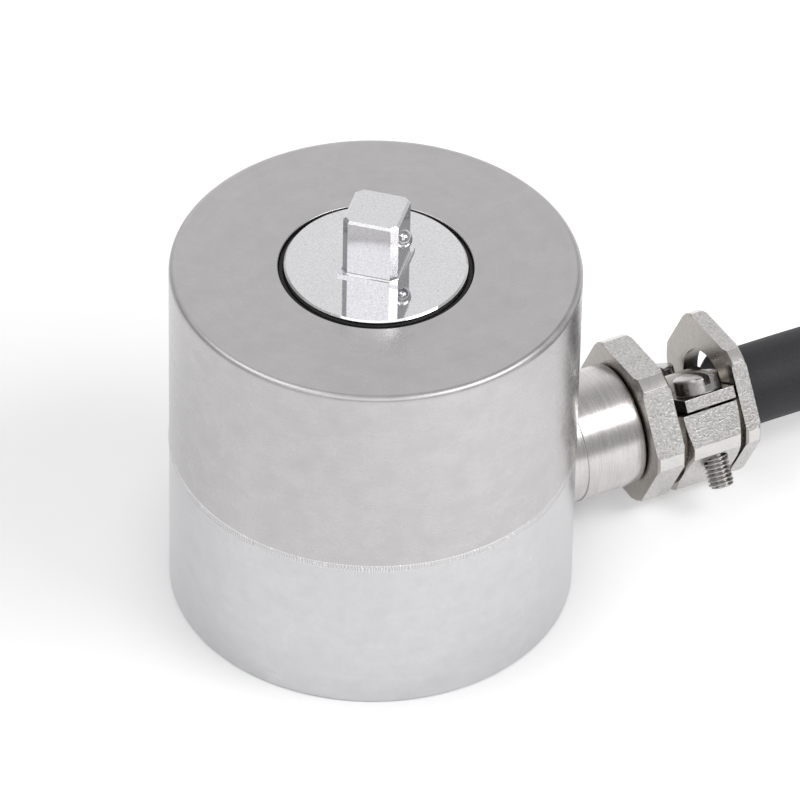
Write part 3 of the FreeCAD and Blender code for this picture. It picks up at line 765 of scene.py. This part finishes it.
def grid_faces(rows: int, columns: int, close_rows: bool, close_columns: bool) -> Array:
    """Quads over a grid of points, with either direction closed on itself."""
    row = np.arange(rows if close_rows else rows - 1)
    column = np.arange(columns if close_columns else columns - 1)
    r, c = np.meshgrid(row, column, indexing="ij")
    r2, c2 = (r + 1) % rows, (c + 1) % columns
    corners = [r * columns + c, r * columns + c2, r2 * columns + c2, r2 * columns + c]
    return np.stack(corners, -1).reshape(-1, 4)


def around(reach: Array | float, angle: Array, height: Array | float) -> Array:
    """Points (r cos t, r sin t, h) about the z axis, spread out to one shape."""
    parts = np.broadcast_arrays(reach * np.cos(angle), reach * np.sin(angle), height)
    return np.stack(parts, -1)


def full_turn(count: int) -> Array:
    """Even angles over a full turn, as a column."""
    return np.linspace(0.0, FULL_TURN, count, endpoint=False)[:, None]


def turned(points: Array, degrees: float, first: int = 0, second: int = 1) -> Array:
    """Points turned by t about one axis: (a, b) goes to (a cos t - b sin t, a sin t + b cos t).

    Args:
        points: the points, with their coordinates in the last direction.
        degrees: the turn from the first coordinate towards the second.
        first: which coordinate is a.
        second: which coordinate is b.

    Returns:
        The turned points.
    """
    angle = math.radians(degrees)
    a, b = points[..., first], points[..., second]
    made = points.copy()
    made[..., first] = a * math.cos(angle) - b * math.sin(angle)
    made[..., second] = a * math.sin(angle) + b * math.cos(angle)
    return made


def signed_volume(points: Array, quads: Array) -> float:
    """The volume inside closed quads: a sixth of the sum of a . (b x c) over their triangles."""
    a, b, c, d = (points[quads[:, k]] for k in range(4))
    first = (a * np.cross(b, c)).sum()
    second = (a * np.cross(c, d)).sum()
    return float(first + second) / 6.0


def linked(name: str, data: bpy.types.ID) -> bpy.types.Object:
    """A new object in the scene."""
    made = bpy.data.objects.new(name, data)
    bpy.context.scene.collection.objects.link(made)
    return made


def shade_smoothly(mesh: bpy.types.Mesh, sharp: float) -> None:
    """Shades a mesh smoothly, save at edges that turn by more degrees than sharp says."""
    mesh.shade_smooth()
    mesh.set_sharp_from_angle(angle=math.radians(sharp))


def mesh_object(name: str, points: Array, quads: Array, sharp: float = 35.0) -> bpy.types.Object:
    """A closed mesh object from points in millimetres.

    Args:
        name: the piece's name.
        points: the corners, one row each.
        quads: four indices a row.
        sharp: edges that turn by more degrees than this stay sharp.

    Returns:
        The object, with its faces outward and its doubles merged.
    """
    if signed_volume(points, quads) < 0:
        quads = quads[:, ::-1]
    mesh = bpy.data.meshes.new(name)
    mesh.from_pydata((points * MM).tolist(), [], quads.tolist())
    work = bmesh.new()
    work.from_mesh(mesh)
    bmesh.ops.remove_doubles(work, verts=work.verts, dist=NUMERIC_DOUBLES * MM)
    bmesh.ops.dissolve_degenerate(work, dist=NUMERIC_DOUBLES / 2 * MM, edges=work.edges)
    work.to_mesh(mesh)
    work.free()
    shade_smoothly(mesh, sharp)
    return linked(name, mesh)


def grid_object(
    name: str,
    grid: Array,
    sharp: float = 35.0,
    close_rows: bool = True,
    close_columns: bool = True,
) -> bpy.types.Object:
    """A closed mesh object over a grid of points; see mesh_object and grid_faces."""
    quads = grid_faces(grid.shape[0], grid.shape[1], close_rows, close_columns)
    return mesh_object(name, grid.reshape(-1, 3), quads, sharp)


def spun(outline: Array, count: int, axis: Axis = Axis.DRIVE, lift: float = 0.0) -> Array:
    """A closed outline of (radius, height) turned about an axis, as a grid of points.

    The point at angle t is (r cos t, r sin t, h) about the drive axis, and
    (h, r cos t, r sin t + lift) about the gland's.
    """
    grid = around(outline[None, :, 0], full_turn(count), outline[None, :, 1])
    if axis is Axis.DRIVE:
        return grid
    return grid[..., [2, 0, 1]] + np.array([0.0, 0.0, lift])


def cut_by(target: bpy.types.Object, tool: bpy.types.Object, sharp: float = 35.0) -> None:
    """Takes one closed mesh out of another and removes the tool."""
    modifier = target.modifiers.new("cut", "BOOLEAN")
    modifier.operation = "DIFFERENCE"
    modifier.solver = "EXACT"
    modifier.object = tool
    graph = bpy.context.evaluated_depsgraph_get()
    mesh = bpy.data.meshes.new_from_object(target.evaluated_get(graph))
    target.modifiers.clear()
    target.data = mesh
    shade_smoothly(mesh, sharp)
    bpy.data.objects.remove(tool)


def merged_copy(node: str, name: str) -> bpy.types.Object:
    """A copy of a CAD node with its loose triangles joined and its flats made whole."""
    mesh = bpy.data.objects[node].data.copy()
    mesh.name = name
    mesh.materials.clear()
    work = bmesh.new()
    work.from_mesh(mesh)
    bmesh.ops.remove_doubles(work, verts=work.verts, dist=SOLID_DOUBLES * MM)
    bmesh.ops.dissolve_limit(
        work,
        angle_limit=math.radians(FLAT_TURN),
        use_dissolve_boundaries=False,
        verts=work.verts,
        edges=work.edges,
    )
    bmesh.ops.recalc_face_normals(work, faces=work.faces)
    work.to_mesh(mesh)
    work.free()
    if "custom_normal" in mesh.attributes:
        mesh.attributes.remove(mesh.attributes["custom_normal"])
    shade_smoothly(mesh, SOLID_SHARP)
    return linked(name, mesh)


def soften_edges(piece: bpy.types.Object, width: float) -> None:
    """Rounds a piece's sharp edges by a small width in millimetres."""
    bevel = piece.modifiers.new("edge_break", "BEVEL")
    bevel.width = width * MM
    bevel.segments = 2
    bevel.limit_method = "ANGLE"
    bevel.angle_limit = math.radians(BROKEN_FROM)
    bevel.use_clamp_overlap = True
    bevel.harden_normals = True


@dataclass
class Assembly:
    """What every sub-assembly shares: its finishes and how its pieces are dressed."""

    finishes: dict[str, bpy.types.Material]

    def dress(
        self,
        piece: bpy.types.Object,
        finish: str,
        slot: str,
        *nodes: str,
        body: Body = Body.HOUSING,
    ) -> bpy.types.Object:
        """Gives a new piece its finish and its body, and hides the nodes that it stands for."""
        piece.data.materials.clear()
        piece.data.materials.append(self.finishes[finish])
        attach(piece, body.value)
        if nodes:
            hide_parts(*nodes)
        log.info("%s stands for %s", piece.name, ", ".join(nodes) or "itself")
        return piece

    def paint(self, **finishes: str) -> None:
        """Gives CAD nodes their finishes in their own material slots, keyed by the node's name."""
        for node, finish in finishes.items():
            for place in bpy.data.objects[node].material_slots:
                place.material = self.finishes[finish]
            log.info("%s keeps its solid in %s", node, finish)


@dataclass
class Housing(Assembly):
    """The turned cap and cup, the weld between them and the seal round the hub."""

    radius: float = 23.0
    height: float = 44.4
    seam: float = 19.85
    seam_width: float = 0.9
    seam_depth: float = 0.55
    crown: float = 0.08
    rim_round: float = 0.7
    roof: float = 3.6
    cap_inside: float = 20.8
    register: float = 21.35
    register_height: float = 2.0
    register_clearance: float = 0.05
    cup_upper_inside: float = 20.0
    cup_lower_inside: float = 19.2
    shelf: float = 15.5
    floor: float = 4.0
    pilot: float = 9.03
    seal_bore: float = 10.9
    seal_groove: float = 12.0
    groove_low: float = 2.6
    groove_high: float = 1.2
    seal_inside: float = 10.27
    seal_recess: float = 0.4
    seal_length: float = 2.9
    seal_clearance: float = 0.02
    edge_break: float = 0.3
    boss_hole: float = 6.93
    spigot_hole: float = 5.83
    boss_height: float = 9.6
    boss_seat: float = 21.5
    hole_start: float = 12.0
    hole_end: float = 30.0
    segments: int = 360
    seal_segments: int = 240
    hole_segments: int = 180
    bead_points: int = 9
    points_a_ripple: int = 6
    ripple_count: int = 470
    ripple_depth: float = 0.012
    ripple_slant: float = 2.2
    bead_sink: float = 0.01
    bead_wander: float = 0.02

    def build(self) -> None:
        """Makes all the housing's pieces."""
        self.cap()
        self.cup()
        self.weld()
        self.seal()

    def cap(self) -> None:
        """The cap, turned from one outline."""
        top, roof = self.height, self.height - self.roof
        low, high = self.height - self.groove_low, self.height - self.groove_high
        seat = self.register + self.register_clearance
        joint = self.seam + self.register_height + self.register_clearance
        corners = [
            (self.radius, top, self.rim_round),
            (self.radius, self.seam + self.seam_width / 2, 0.03),
            (self.radius - self.seam_depth, self.seam, 0.03),
            (seat, self.seam, 0.1),
            (seat, joint, 0.1),
            (self.cap_inside, joint, 0.1),
            (self.cap_inside, roof, 0.5),
            (self.seal_bore, roof, 0.1),
            (self.seal_bore, low, 0.1),
            (self.seal_groove, low, 0.1),
            (self.seal_groove, high, 0.1),
            (self.seal_bore, high, 0.1),
            (self.seal_bore, top, 0.12),
        ]
        cap = grid_object("cap", spun(rounded_outline(corners, 10), self.segments))
        self.dress(cap, "cap", "housing_steel", "upper_housing")

    def cup(self) -> None:
        """The cup, with the stepped side hole that takes the boss."""
        joint = self.seam + self.register_height
        corners = [
            (self.radius, self.seam - self.seam_width / 2, 0.03),
            (self.radius, 0.0, self.edge_break),
            (self.pilot, 0.0, 0.1),
            (self.pilot, self.floor, 0.1),
            (self.cup_lower_inside, self.floor, 0.4),
            (self.cup_lower_inside, self.shelf, 0.05),
            (self.cup_upper_inside, self.shelf, 0.05),
            (self.cup_upper_inside, joint, 0.1),
            (self.register, joint, 0.1),
            (self.register, self.seam, 0.05),
            (self.radius - self.seam_depth, self.seam, 0.03),
        ]
        cup = grid_object("cup", spun(rounded_outline(corners, 8), self.segments))
        hole = np.array(
            [
                (1e-4, self.hole_start),
                (self.spigot_hole, self.hole_start),
                (self.spigot_hole, self.boss_seat),
                (self.boss_hole, self.boss_seat),
                (self.boss_hole, self.hole_end),
                (1e-4, self.hole_end),
            ]
        )
        drill = spun(hole, self.hole_segments, Axis.GLAND, self.boss_height)
        cut_by(cup, grid_object("hole_tool", drill))
        self.dress(cup, "cup", "housing_steel", "base_housing")

    def weld(self) -> None:
        """The bead: a crown over the joint with slanting ripples.

        Across the bead v runs from -1 to 1. The surface stands at
        R - s + (c + d cos(N t + k |v| + 2 w)) (1 - v^2), with w = 0.3 sin(7 t) +
        0.2 sin(23 t + 1), and its root is the joint's V.
        """
        angle = full_turn(self.points_a_ripple * self.ripple_count)
        across = np.linspace(-1.0, 1.0, self.bead_points)[None, :]
        swell = 1.0 - across**2
        wander = 0.3 * np.sin(7 * angle) + 0.2 * np.sin(23 * angle + 1.0)
        slant = self.ripple_slant * np.abs(across)
        ripple = np.cos(self.ripple_count * angle + slant + 2.0 * wander)
        reach = self.radius - self.bead_sink + (self.crown + self.ripple_depth * ripple) * swell
        half_width = self.seam_width / 2 - self.bead_sink
        height = self.seam + across * half_width + self.bead_wander * wander * swell
        root_reach = np.full_like(angle, self.radius - self.seam_depth + 2 * self.bead_sink)
        reach = np.concatenate([reach, root_reach], 1)
        height = np.concatenate([height, np.full_like(angle, self.seam)], 1)
        bead = grid_object("weld_bead", around(reach, angle, height))
        self.dress(bead, "weld", "weld_steel", "seam_weld")

    def seal(self) -> None:
        """The rubber ring between hub and cap, with its rib in the cap's groove."""
        top = self.height - self.seal_recess
        low = top - self.seal_length
        skin, rib = self.seal_bore - self.seal_clearance, self.seal_groove - self.seal_clearance
        rib_low = self.height - self.groove_low + self.seal_clearance
        rib_high = self.height - self.groove_high - self.seal_clearance
        corners = [
            (self.seal_inside, low, 0.1),
            (self.seal_inside, top, 0.2),
            (skin, top, 0.2),
            (skin, rib_high, 0.03),
            (rib, rib_high, 0.1),
            (rib, rib_low, 0.1),
            (skin, rib_low, 0.03),
            (skin, low, 0.1),
        ]
        ring = grid_object("hub_ring_seal", spun(rounded_outline(corners), self.seal_segments))
        self.dress(ring, "seal", "seal_rubber", "hub_seal")


@dataclass
class DriveShaft(Assembly):
    """The one-piece shaft with its square and hub, and the detent in the square."""

    edge_break: float = 0.04
    square_turn: float = -43.5
    ball_radius: float = 1.19
    ball_sides: int = 64
    ball_rings: int = 33
    ball_travel: float = 0.9
    spring_radius: float = 0.85
    spring_wire: float = 0.12
    spring_turns: int = 5
    spring_start: float = -1.605
    spring_end: float = 1.575
    spring_slack: float = 0.03
    points_a_turn: int = 24
    wire_sides: int = 10

    def build(self) -> None:
        """Makes the shaft from its solid with broken edges, and dresses the detent."""
        shaft = merged_copy("torsion_shaft", "drive_shaft")
        soften_edges(shaft, self.edge_break)
        self.dress(shaft, "shaft", "shaft_steel", "torsion_shaft")
        self.ball()
        self.spring()

    def ball_centre(self) -> Array:
        """The middle of the ball's node, in millimetres."""
        low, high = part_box("detent_ball")
        return np.array((low + high) / 2) / MM

    def ball(self) -> None:
        """The ball as a fine sphere: r (sin v cos t, sin v sin t, cos v) about its centre."""
        polar = np.linspace(0.0, math.pi, self.ball_rings)[None, :]
        unit = around(np.sin(polar), full_turn(self.ball_sides), np.cos(polar))
        grid = unit * self.ball_radius + self.ball_centre()
        ball = grid_object("ball", grid, 60.0, close_columns=False)
        self.dress(ball, "ball", "ball_steel", "detent_ball", body=Body.BALL)

    def spring(self) -> None:
        """The detent spring: a wire along a helix.

        With a = 2 pi n s, the wire's centre is (x0 + (x1 - x0) s, r cos a, r sin a) in the
        pocket's frame, and its skin is the centre plus w (cos v N + sin v B), where N points away
        from the pocket's axis and B is square to both N and the wire.
        """
        share = np.linspace(0.0, 1.0, self.points_a_turn * self.spring_turns + 1)
        share = np.concatenate([share[:1], share, share[-1:]])[:, None]
        wire = np.full_like(share, self.spring_wire)
        wire[[0, -1]] = 0.0
        wound = FULL_TURN * self.spring_turns
        angle = wound * share
        rise = (self.spring_end - self.spring_start) / wound
        radial = around(1.0, angle, 0.0)[..., [2, 0, 1]]
        along = around(self.spring_radius, angle + FULL_TURN / 4, rise)[..., [2, 0, 1]]
        along = along / np.linalg.norm(along, axis=-1, keepdims=True)
        across = np.cross(along, radial)
        centre = self.spring_radius * radial
        centre[..., 0] = self.spring_start + (self.spring_end - self.spring_start) * share
        turn = full_turn(self.wire_sides)[None]
        skin = centre + wire[..., None] * (np.cos(turn) * radial + np.sin(turn) * across)
        lift = float(self.ball_centre()[2])
        grid = turned(skin, self.square_turn) + np.array([0.0, 0.0, lift])
        piece = grid_object("press_spring", grid, close_rows=False)
        self.dress(piece, "spring", "spring_steel", "detent_spring")
        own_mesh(piece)


@dataclass
class CableBoss(Assembly):
    """The turned sleeve that stands out of the cup."""

    height: float = 9.6
    radius: float = 7.2
    neck: float = 7.05
    neck_end: float = 24.3
    seat: float = 21.5
    end: float = 31.9
    end_round: float = 0.45
    spigot: float = 5.8
    spigot_end: float = 19.3
    bore: float = 5.0
    thread: float = 5.6
    thread_start: float = 24.4
    segments: int = 300

    def build(self) -> None:
        """Turns the sleeve's outline about the gland's axis."""
        corners = [
            (self.bore, self.spigot_end, 0.1),
            (self.bore, self.thread_start, 0.1),
            (self.thread, self.thread_start, 0.1),
            (self.thread, self.end, 0.15),
            (self.radius, self.end, self.end_round),
            (self.radius, self.neck_end, 0.08),
            (self.neck, self.neck_end, 0.04),
            (self.neck, self.seat, 0.05),
            (self.spigot, self.seat, 0.05),
            (self.spigot, self.spigot_end, 0.2),
        ]
        grid = spun(rounded_outline(corners, 10), self.segments, Axis.GLAND, self.height)
        self.dress(grid_object("boss_sleeve", grid), "boss", "boss_steel", "cable_boss")


@dataclass
class Gland(Assembly):
    """The pressure screw with its cradle and end ring, the strap and its two screws.

    The clamp screws' sizes are in a frame that is tilted with the bar about the gland's axis.
    """

    height: float = 9.6
    tilt: float = 33.0
    corner_reach: float = 9.5
    inner_reach: float = 8.1
    end_lean: float = 0.3
    edge_break: float = 0.09
    strap_break: float = 0.1
    screw_x: float = 40.15
    screw_side: float = 6.0
    near_length: float = 11.7
    far_length: float = 7.7
    strap_top: float = 1.65
    head_radius: float = 2.75
    head_height: float = 2.1
    slot_width: float = 0.8
    slot_depth: float = 1.15
    slot_turn: float = 92.5
    thread_radius: float = 1.5
    thread_pitch: float = 0.5
    thread_depth: float = 0.31
    thread_crest: float = 1.25
    thread_overlap: float = 0.3
    fade_run: float = 0.4
    tip_run: float = 0.3
    head_sides: int = 96
    thread_sides: int = 36
    rings_a_pitch: int = 10

    def build(self) -> None:
        """Makes the gland's pieces."""
        screw = merged_copy("pressure_screw", "gland_screw")
        self.face_finishes(screw, "gland_nickel", "pressure_screw", self.edge_break)
        strap = merged_copy("clamp_strap", "strap")
        self.face_finishes(strap, "gland_nickel", "clamp_strap", self.strap_break)
        for name, side, length, node in (
            ("strap_screw_near", -self.screw_side, self.near_length, "clamp_screw_near"),
            ("strap_screw_far", self.screw_side, self.far_length, "clamp_screw_far"),
        ):
            head = self.screw_head(name, side)
            thread = self.screw_thread(name + "_thread", side, length)
            self.dress(head, "clamp_screw", "clamp_screw_steel", node)
            self.dress(thread, "clamp_screw", "clamp_screw_steel", node)

    def place(self, points: Array, side: float) -> Array:
        """Moves points from a clamp screw's own frame into the sensor's."""
        points = points + np.array([self.screw_x, side, 0.0])
        return turned(points, -self.tilt, 1, 2) + np.array([0.0, 0.0, self.height])

    def face_finishes(self, piece: bpy.types.Object, slot: str, node: str, width: float) -> None:
        """Grain on the bar's flats, smooth faced ends, and bright turned corners.

        A face belongs to the faced ends where its normal leans along the gland or it lies deep
        inside, and to the turned corners where its centre lies far out on the turned radius.
        """
        self.dress(piece, "bar", slot, node)
        piece.data.materials.append(self.finishes["faced"])
        piece.data.materials.append(self.finishes["strip"])
        count = len(piece.data.polygons)
        normal, centre = np.zeros(count * 3), np.zeros(count * 3)
        piece.data.polygons.foreach_get("normal", normal)
        piece.data.polygons.foreach_get("center", centre)
        normal, centre = normal.reshape(-1, 3), centre.reshape(-1, 3) / MM
        reach = np.hypot(centre[:, 1], centre[:, 2] - self.height)
        faced = (np.abs(normal[:, 0]) > self.end_lean) | (reach < self.inner_reach)
        kind = np.select([faced, reach > self.corner_reach], [1, 2], 0)
        piece.data.polygons.foreach_set("material_index", kind.astype(np.int32))
        soften_edges(piece, width)

    def screw_head(self, name: str, side: float) -> bpy.types.Object:
        """A cheese head, turned from an outline, with its slot cut out."""
        top = self.strap_top + self.head_height
        corners = [
            (1e-3, top + 0.12, 0.0),
            (self.head_radius * 0.55, top + 0.08, 0.8),
            (self.head_radius * 0.97, top - 0.12, 0.35),
            (self.head_radius, self.strap_top + 0.02, 0.25),
            (1e-3, self.strap_top + 0.02, 0.0),
        ]
        grid = spun(rounded_outline(corners, 5, 0.03), self.head_sides)
        head = grid_object(name, self.place(grid, side), 40.0)
        cut_by(head, self.slot_tool(side, top), 30.0)
        return head

    def screw_thread(self, name: str, side: float, length: float) -> bpy.types.Object:
        """A threaded shank.

        Its radius is R - D (1 - g e) f, with g = min(c |2 p - 1|, 1) and p the fraction of
        t / 2 pi + z / pitch. The factor f rises from 0 under the head, and e falls to 0 at the
        tip. The first and last rings close the ends.
        """
        angle = full_turn(self.thread_sides).T
        ring = self.thread_pitch / self.rings_a_pitch
        run = np.arange(0.0, length + 1e-6, ring)[:, None]
        turns = (angle / FULL_TURN + run / self.thread_pitch) % 1.0
        ridge = np.clip(np.abs(2.0 * turns - 1.0) * self.thread_crest, 0.0, 1.0)
        fade = np.clip(run / self.fade_run, 0.0, 1.0)
        tip = np.clip((length - run) / self.tip_run, 0.0, 1.0)
        reach = self.thread_radius - self.thread_depth * (1 - ridge * tip) * fade
        first, last = run < 1e-3, run > length - 1e-3
        reach = np.where(first | last, 1e-3, reach)
        drop = np.where(first, ring, run)
        grid = around(reach, angle, self.strap_top + self.thread_overlap - drop)
        return grid_object(name, self.place(grid, side), 60.0, close_rows=False)

    def slot_tool(self, side: float, top: float) -> bpy.types.Object:
        """The bar that cuts the screwdriver slot, from corners (+-a, +-b, +-c) turned about z."""
        signs = np.array([(x, y, z) for x in (-1, 1) for y in (-1, 1) for z in (-1, 1)], float)
        half = np.array([2 * self.head_radius, self.slot_width / 2, self.slot_depth])
        bar = turned(signs * half, self.slot_turn) + np.array([0.0, 0.0, top + 0.1])
        points = self.place(bar, side)
        quads = np.array(
            [(0, 1, 3, 2), (4, 6, 7, 5), (0, 4, 5, 1), (2, 3, 7, 6), (0, 2, 6, 4), (1, 5, 7, 3)]
        )
        return mesh_object("slot_tool", points, quads)


@dataclass
class InnerWorks(Assembly):
    """What the closed housing hides."""

    def build(self) -> None:
        """Dresses each hidden node in its own finish."""
        self.paint(
            foot_screws="screw",
            strain_gauges="foil",
            terminal_board="board",
            gauge_wires="enamel",
            cable_cores="cores",
            seal_bush="bush",
            seal_washers="screw",
        )


@dataclass
class CableRun(Assembly):
    """The squeezed cable in the gland, the free cable, its coil and its far end."""

    radius: float = 4.75
    leaves: Triple = (45.55, -0.3268, 9.0968)
    exit_run: float = 7.5
    route: tuple[Triple, ...] = (
        (64.0, 0.0, 8.3),
        (78.0, 3.2, 6.5),
        (93.0, 7.5, 5.1),
        (109.5, 12.2, 5.0),
    )
    centre: tuple[float, float] = (143.0, -42.5)
    entry_angle: float = 105.9
    outer_turn: float = 61.75
    low: float = 5.55
    pitch: float = 9.5
    degrees_a_point: float = 18.0
    total_turn: float = 1326.0
    crossing_start: float = 300.0
    crossing_run: float = 50.0
    length: float = 1.395

    def build(self) -> None:
        """Makes the cord first, then dresses what it carries."""
        self.cord()
        self.paint(
            cable_lead="jacket",
            coil_ties="tie",
            end_boot="boot",
            lead_cores="cores",
            lead_ferrules="tin",
        )

    def winding(self) -> Array:
        """The coil's control points.

        Turned by t degrees, a point lies at the entry's angle less t. Over the crossing of each
        turn, p runs from 0 to 90 degrees: turn one moves in by w (1 - cos p), turn two climbs by
        w sin p, and turn three moves out by w sqrt(1 - (1 - sin p)^2), w being a diameter. With s
        the step between points, the reach is divided by 3/4 + cos(s) / 4, so that the smooth
        curve itself runs on the wanted radius.
        """
        count = round(self.total_turn / self.degrees_a_point)
        passed = np.linspace(0.0, self.total_turn, count + 1)

        def crossing(turn: int) -> Array:
            """The crossing angle p of one turn, held at its ends outside the crossing."""
            start = self.crossing_start + 360.0 * turn
            return np.radians(90.0) * np.clip((passed - start) / self.crossing_run, 0.0, 1.0)

        inward = 1.0 - np.cos(crossing(0))
        climb = np.sin(crossing(1))
        outward = np.sqrt(1.0 - (1.0 - np.sin(crossing(2))) ** 2)
        reach = self.outer_turn - self.pitch * (inward - outward)
        step = math.radians(self.total_turn / count)
        reach = reach / (0.75 + 0.25 * math.cos(step))
        coil = around(reach, np.radians(self.entry_angle - passed), self.low + self.pitch * climb)
        return coil + np.array([*self.centre, 0.0])

    def cord(self) -> None:
        """The free cable and its coil as one smooth spline through the route's points."""
        leaves = np.array(self.leaves)
        straight = leaves + np.array([self.exit_run, 0.0, 0.0])
        points = np.vstack([leaves, straight, np.array(self.route), self.winding()])
        curve = bpy.data.curves.new("cable_line", "CURVE")
        curve.dimensions = "3D"
        curve.bevel_depth = self.radius * MM
        curve.bevel_resolution = 8
        curve.use_fill_caps = True
        spline = curve.splines.new("NURBS")
        spline.points.add(len(points) - 1)
        weighted = np.concatenate([points * MM, np.ones((len(points), 1))], 1)
        spline.points.foreach_set("co", weighted.ravel())
        spline.order_u = 3
        spline.use_endpoint_u = True
        spline.resolution_u = 8
        line = linked("cable_line", curve)
        self.dress(line, "jacket", "cable_jacket", "cable", "cable_coil")


@dataclass(frozen=True)
class RoomPatch:
    """A smooth change of the room's light towards one direction.

    The change is none where the cosine to the direction is low, and whole where it is high.
    """

    x: float
    y: float
    z: float
    low: float
    high: float
    change: float


@dataclass(frozen=True)
class Softbox:
    """A bright rectangle that faces the sensor and that the camera doesn't see.

    Its azimuth is counted from +X, its elevation from the floor and its roll about its own line
    of sight, all in degrees. Width, height and distance are in metres, and the radiance says how
    bright its face looks.
    """

    name: str
    azimuth: float
    elevation: float
    width: float
    height: float
    radiance: float
    roll: float = 0.0
    distance: float = 1.1

    def hang(self) -> None:
        """Puts the softbox in the scene."""
        data = bpy.data.lights.new(self.name, "AREA")
        data.shape = "RECTANGLE"
        data.size = self.width
        data.size_y = self.height
        data.energy = self.radiance * math.pi * self.width * self.height
        turn, rise = math.radians(self.azimuth), math.radians(self.elevation)
        level = math.cos(rise)
        away = Vector((math.cos(turn) * level, math.sin(turn) * level, math.sin(rise)))
        about = Matrix.Rotation(math.radians(self.roll), 3, "Z")
        lamp = linked(self.name, data)
        lamp.rotation_euler = (away.to_track_quat("Z", "Y").to_matrix() @ about).to_euler()
        lamp.location = away * self.distance
        lamp.visible_camera = False


@dataclass
class Studio:
    """The camera, the pale floor, the room and its soft lights."""

    elevation: float = 39.97
    roll: float = 1.208
    turn: float = -28.5
    distance: float = 908.7
    shift_right: float = 3.373
    shift_up: float = 19.158
    lens: float = 357.33
    floor_half: float = 1500.0
    paper: FloorPaper = FloorPaper("floor_paper")
    room_tone: float = 0.56
    patches: tuple[RoomPatch, ...] = (
        RoomPatch(0.473, 0.881, 0.0, 0.3, 1.0, 0.49),
        RoomPatch(-0.515, 0.857, 0.0, 0.68, 0.9, -0.2),
        RoomPatch(0.702, 0.358, 0.616, 0.9, 0.98, -0.36),
        RoomPatch(0.363, -0.863, 0.356, 0.88, 0.98, -0.12),
    )
    softboxes: tuple[Softbox, ...] = (
        Softbox("softbox_right", -49.5, 49.5, 0.62, 0.43, 5.0, -33.0),
        Softbox("softbox_front", -120.0, 42.0, 1.5, 0.56, 0.98),
        Softbox("softbox_back_left", 160.0, 60.0, 0.7, 0.5, 2.1),
    )

    def build(self) -> None:
        """Sets up the whole studio."""
        bpy.context.scene.view_settings.view_transform = "Standard"
        self.camera()
        self.floor()
        self.room()
        for softbox in self.softboxes:
            softbox.hang()

    def camera(self) -> None:
        """The camera at the photograph's angle.

        Its axis is level-turned from one that looks along +Y and down by the elevation; right
        and up are turned by the roll, and it stands off along them by the two shifts.
        """
        tip, roll = math.radians(self.elevation), math.radians(self.roll)
        ahead = Vector((0.0, math.cos(tip), -math.sin(tip)))
        right = Vector((1.0, 0.0, 0.0))
        up = right.cross(ahead)
        level_right = math.cos(roll) * right + math.sin(roll) * up
        level_up = math.cos(roll) * up - math.sin(roll) * right
        stand = level_right * self.shift_right + level_up * self.shift_up - ahead * self.distance
        about = Matrix.Rotation(math.radians(self.turn), 3, "Z")
        place = Matrix((about @ level_right, about @ level_up, about @ -ahead)).transposed().to_4x4()
        place.translation = about @ stand * MM
        data = bpy.data.cameras.new("camera")
        data.sensor_width = 36.0
        data.lens = self.lens
        data.clip_end = 10.0
        camera = linked("camera", data)
        camera.matrix_world = place
        bpy.context.scene.camera = camera

    def floor(self) -> None:
        """A wide pale sheet under the sensor."""
        half = self.floor_half * MM
        corners = [(-half, -half, 0.0), (-half, half, 0.0), (half, -half, 0.0), (half, half, 0.0)]
        mesh = bpy.data.meshes.new("floor")
        mesh.from_pydata(corners, [], [(0, 2, 3, 1)])
        sheet = linked("floor", mesh)
        mesh.materials.append(self.paper.build())

    def room(self) -> None:
        """An even room with a lighter side behind the sensor and three darker patches."""
        world = bpy.data.worlds.new("room")
        bpy.context.scene.world = world
        world.use_nodes = True
        shader = Shader(world.node_tree)
        x, y, z = shader.split(shader.node("ShaderNodeTexCoord", out="Generated"))
        tone = self.room_tone
        for patch in self.patches:
            cosine = x * patch.x + y * patch.y + z * patch.z
            tone = tone + cosine.step(patch.low, patch.high) * patch.change
        light = shader.node("ShaderNodeBackground", None, rgba(1.0, 1.0, 1.0), tone)
        shader.node("ShaderNodeOutputWorld", None, light)


def main() -> None:
    """Builds the studio and the sensor, one sub-assembly after another."""
    logging.basicConfig(level=logging.INFO, format="%(message)s")
    Studio().build()
    finishes = {key: finish.build() for key, finish in FINISHES.items()}
    for kind in (CableRun, Housing, DriveShaft, CableBoss, Gland, InnerWorks):
        log.info("building %s", kind.__name__)
        kind(finishes).build()


if __name__ == "__main__":
    main()
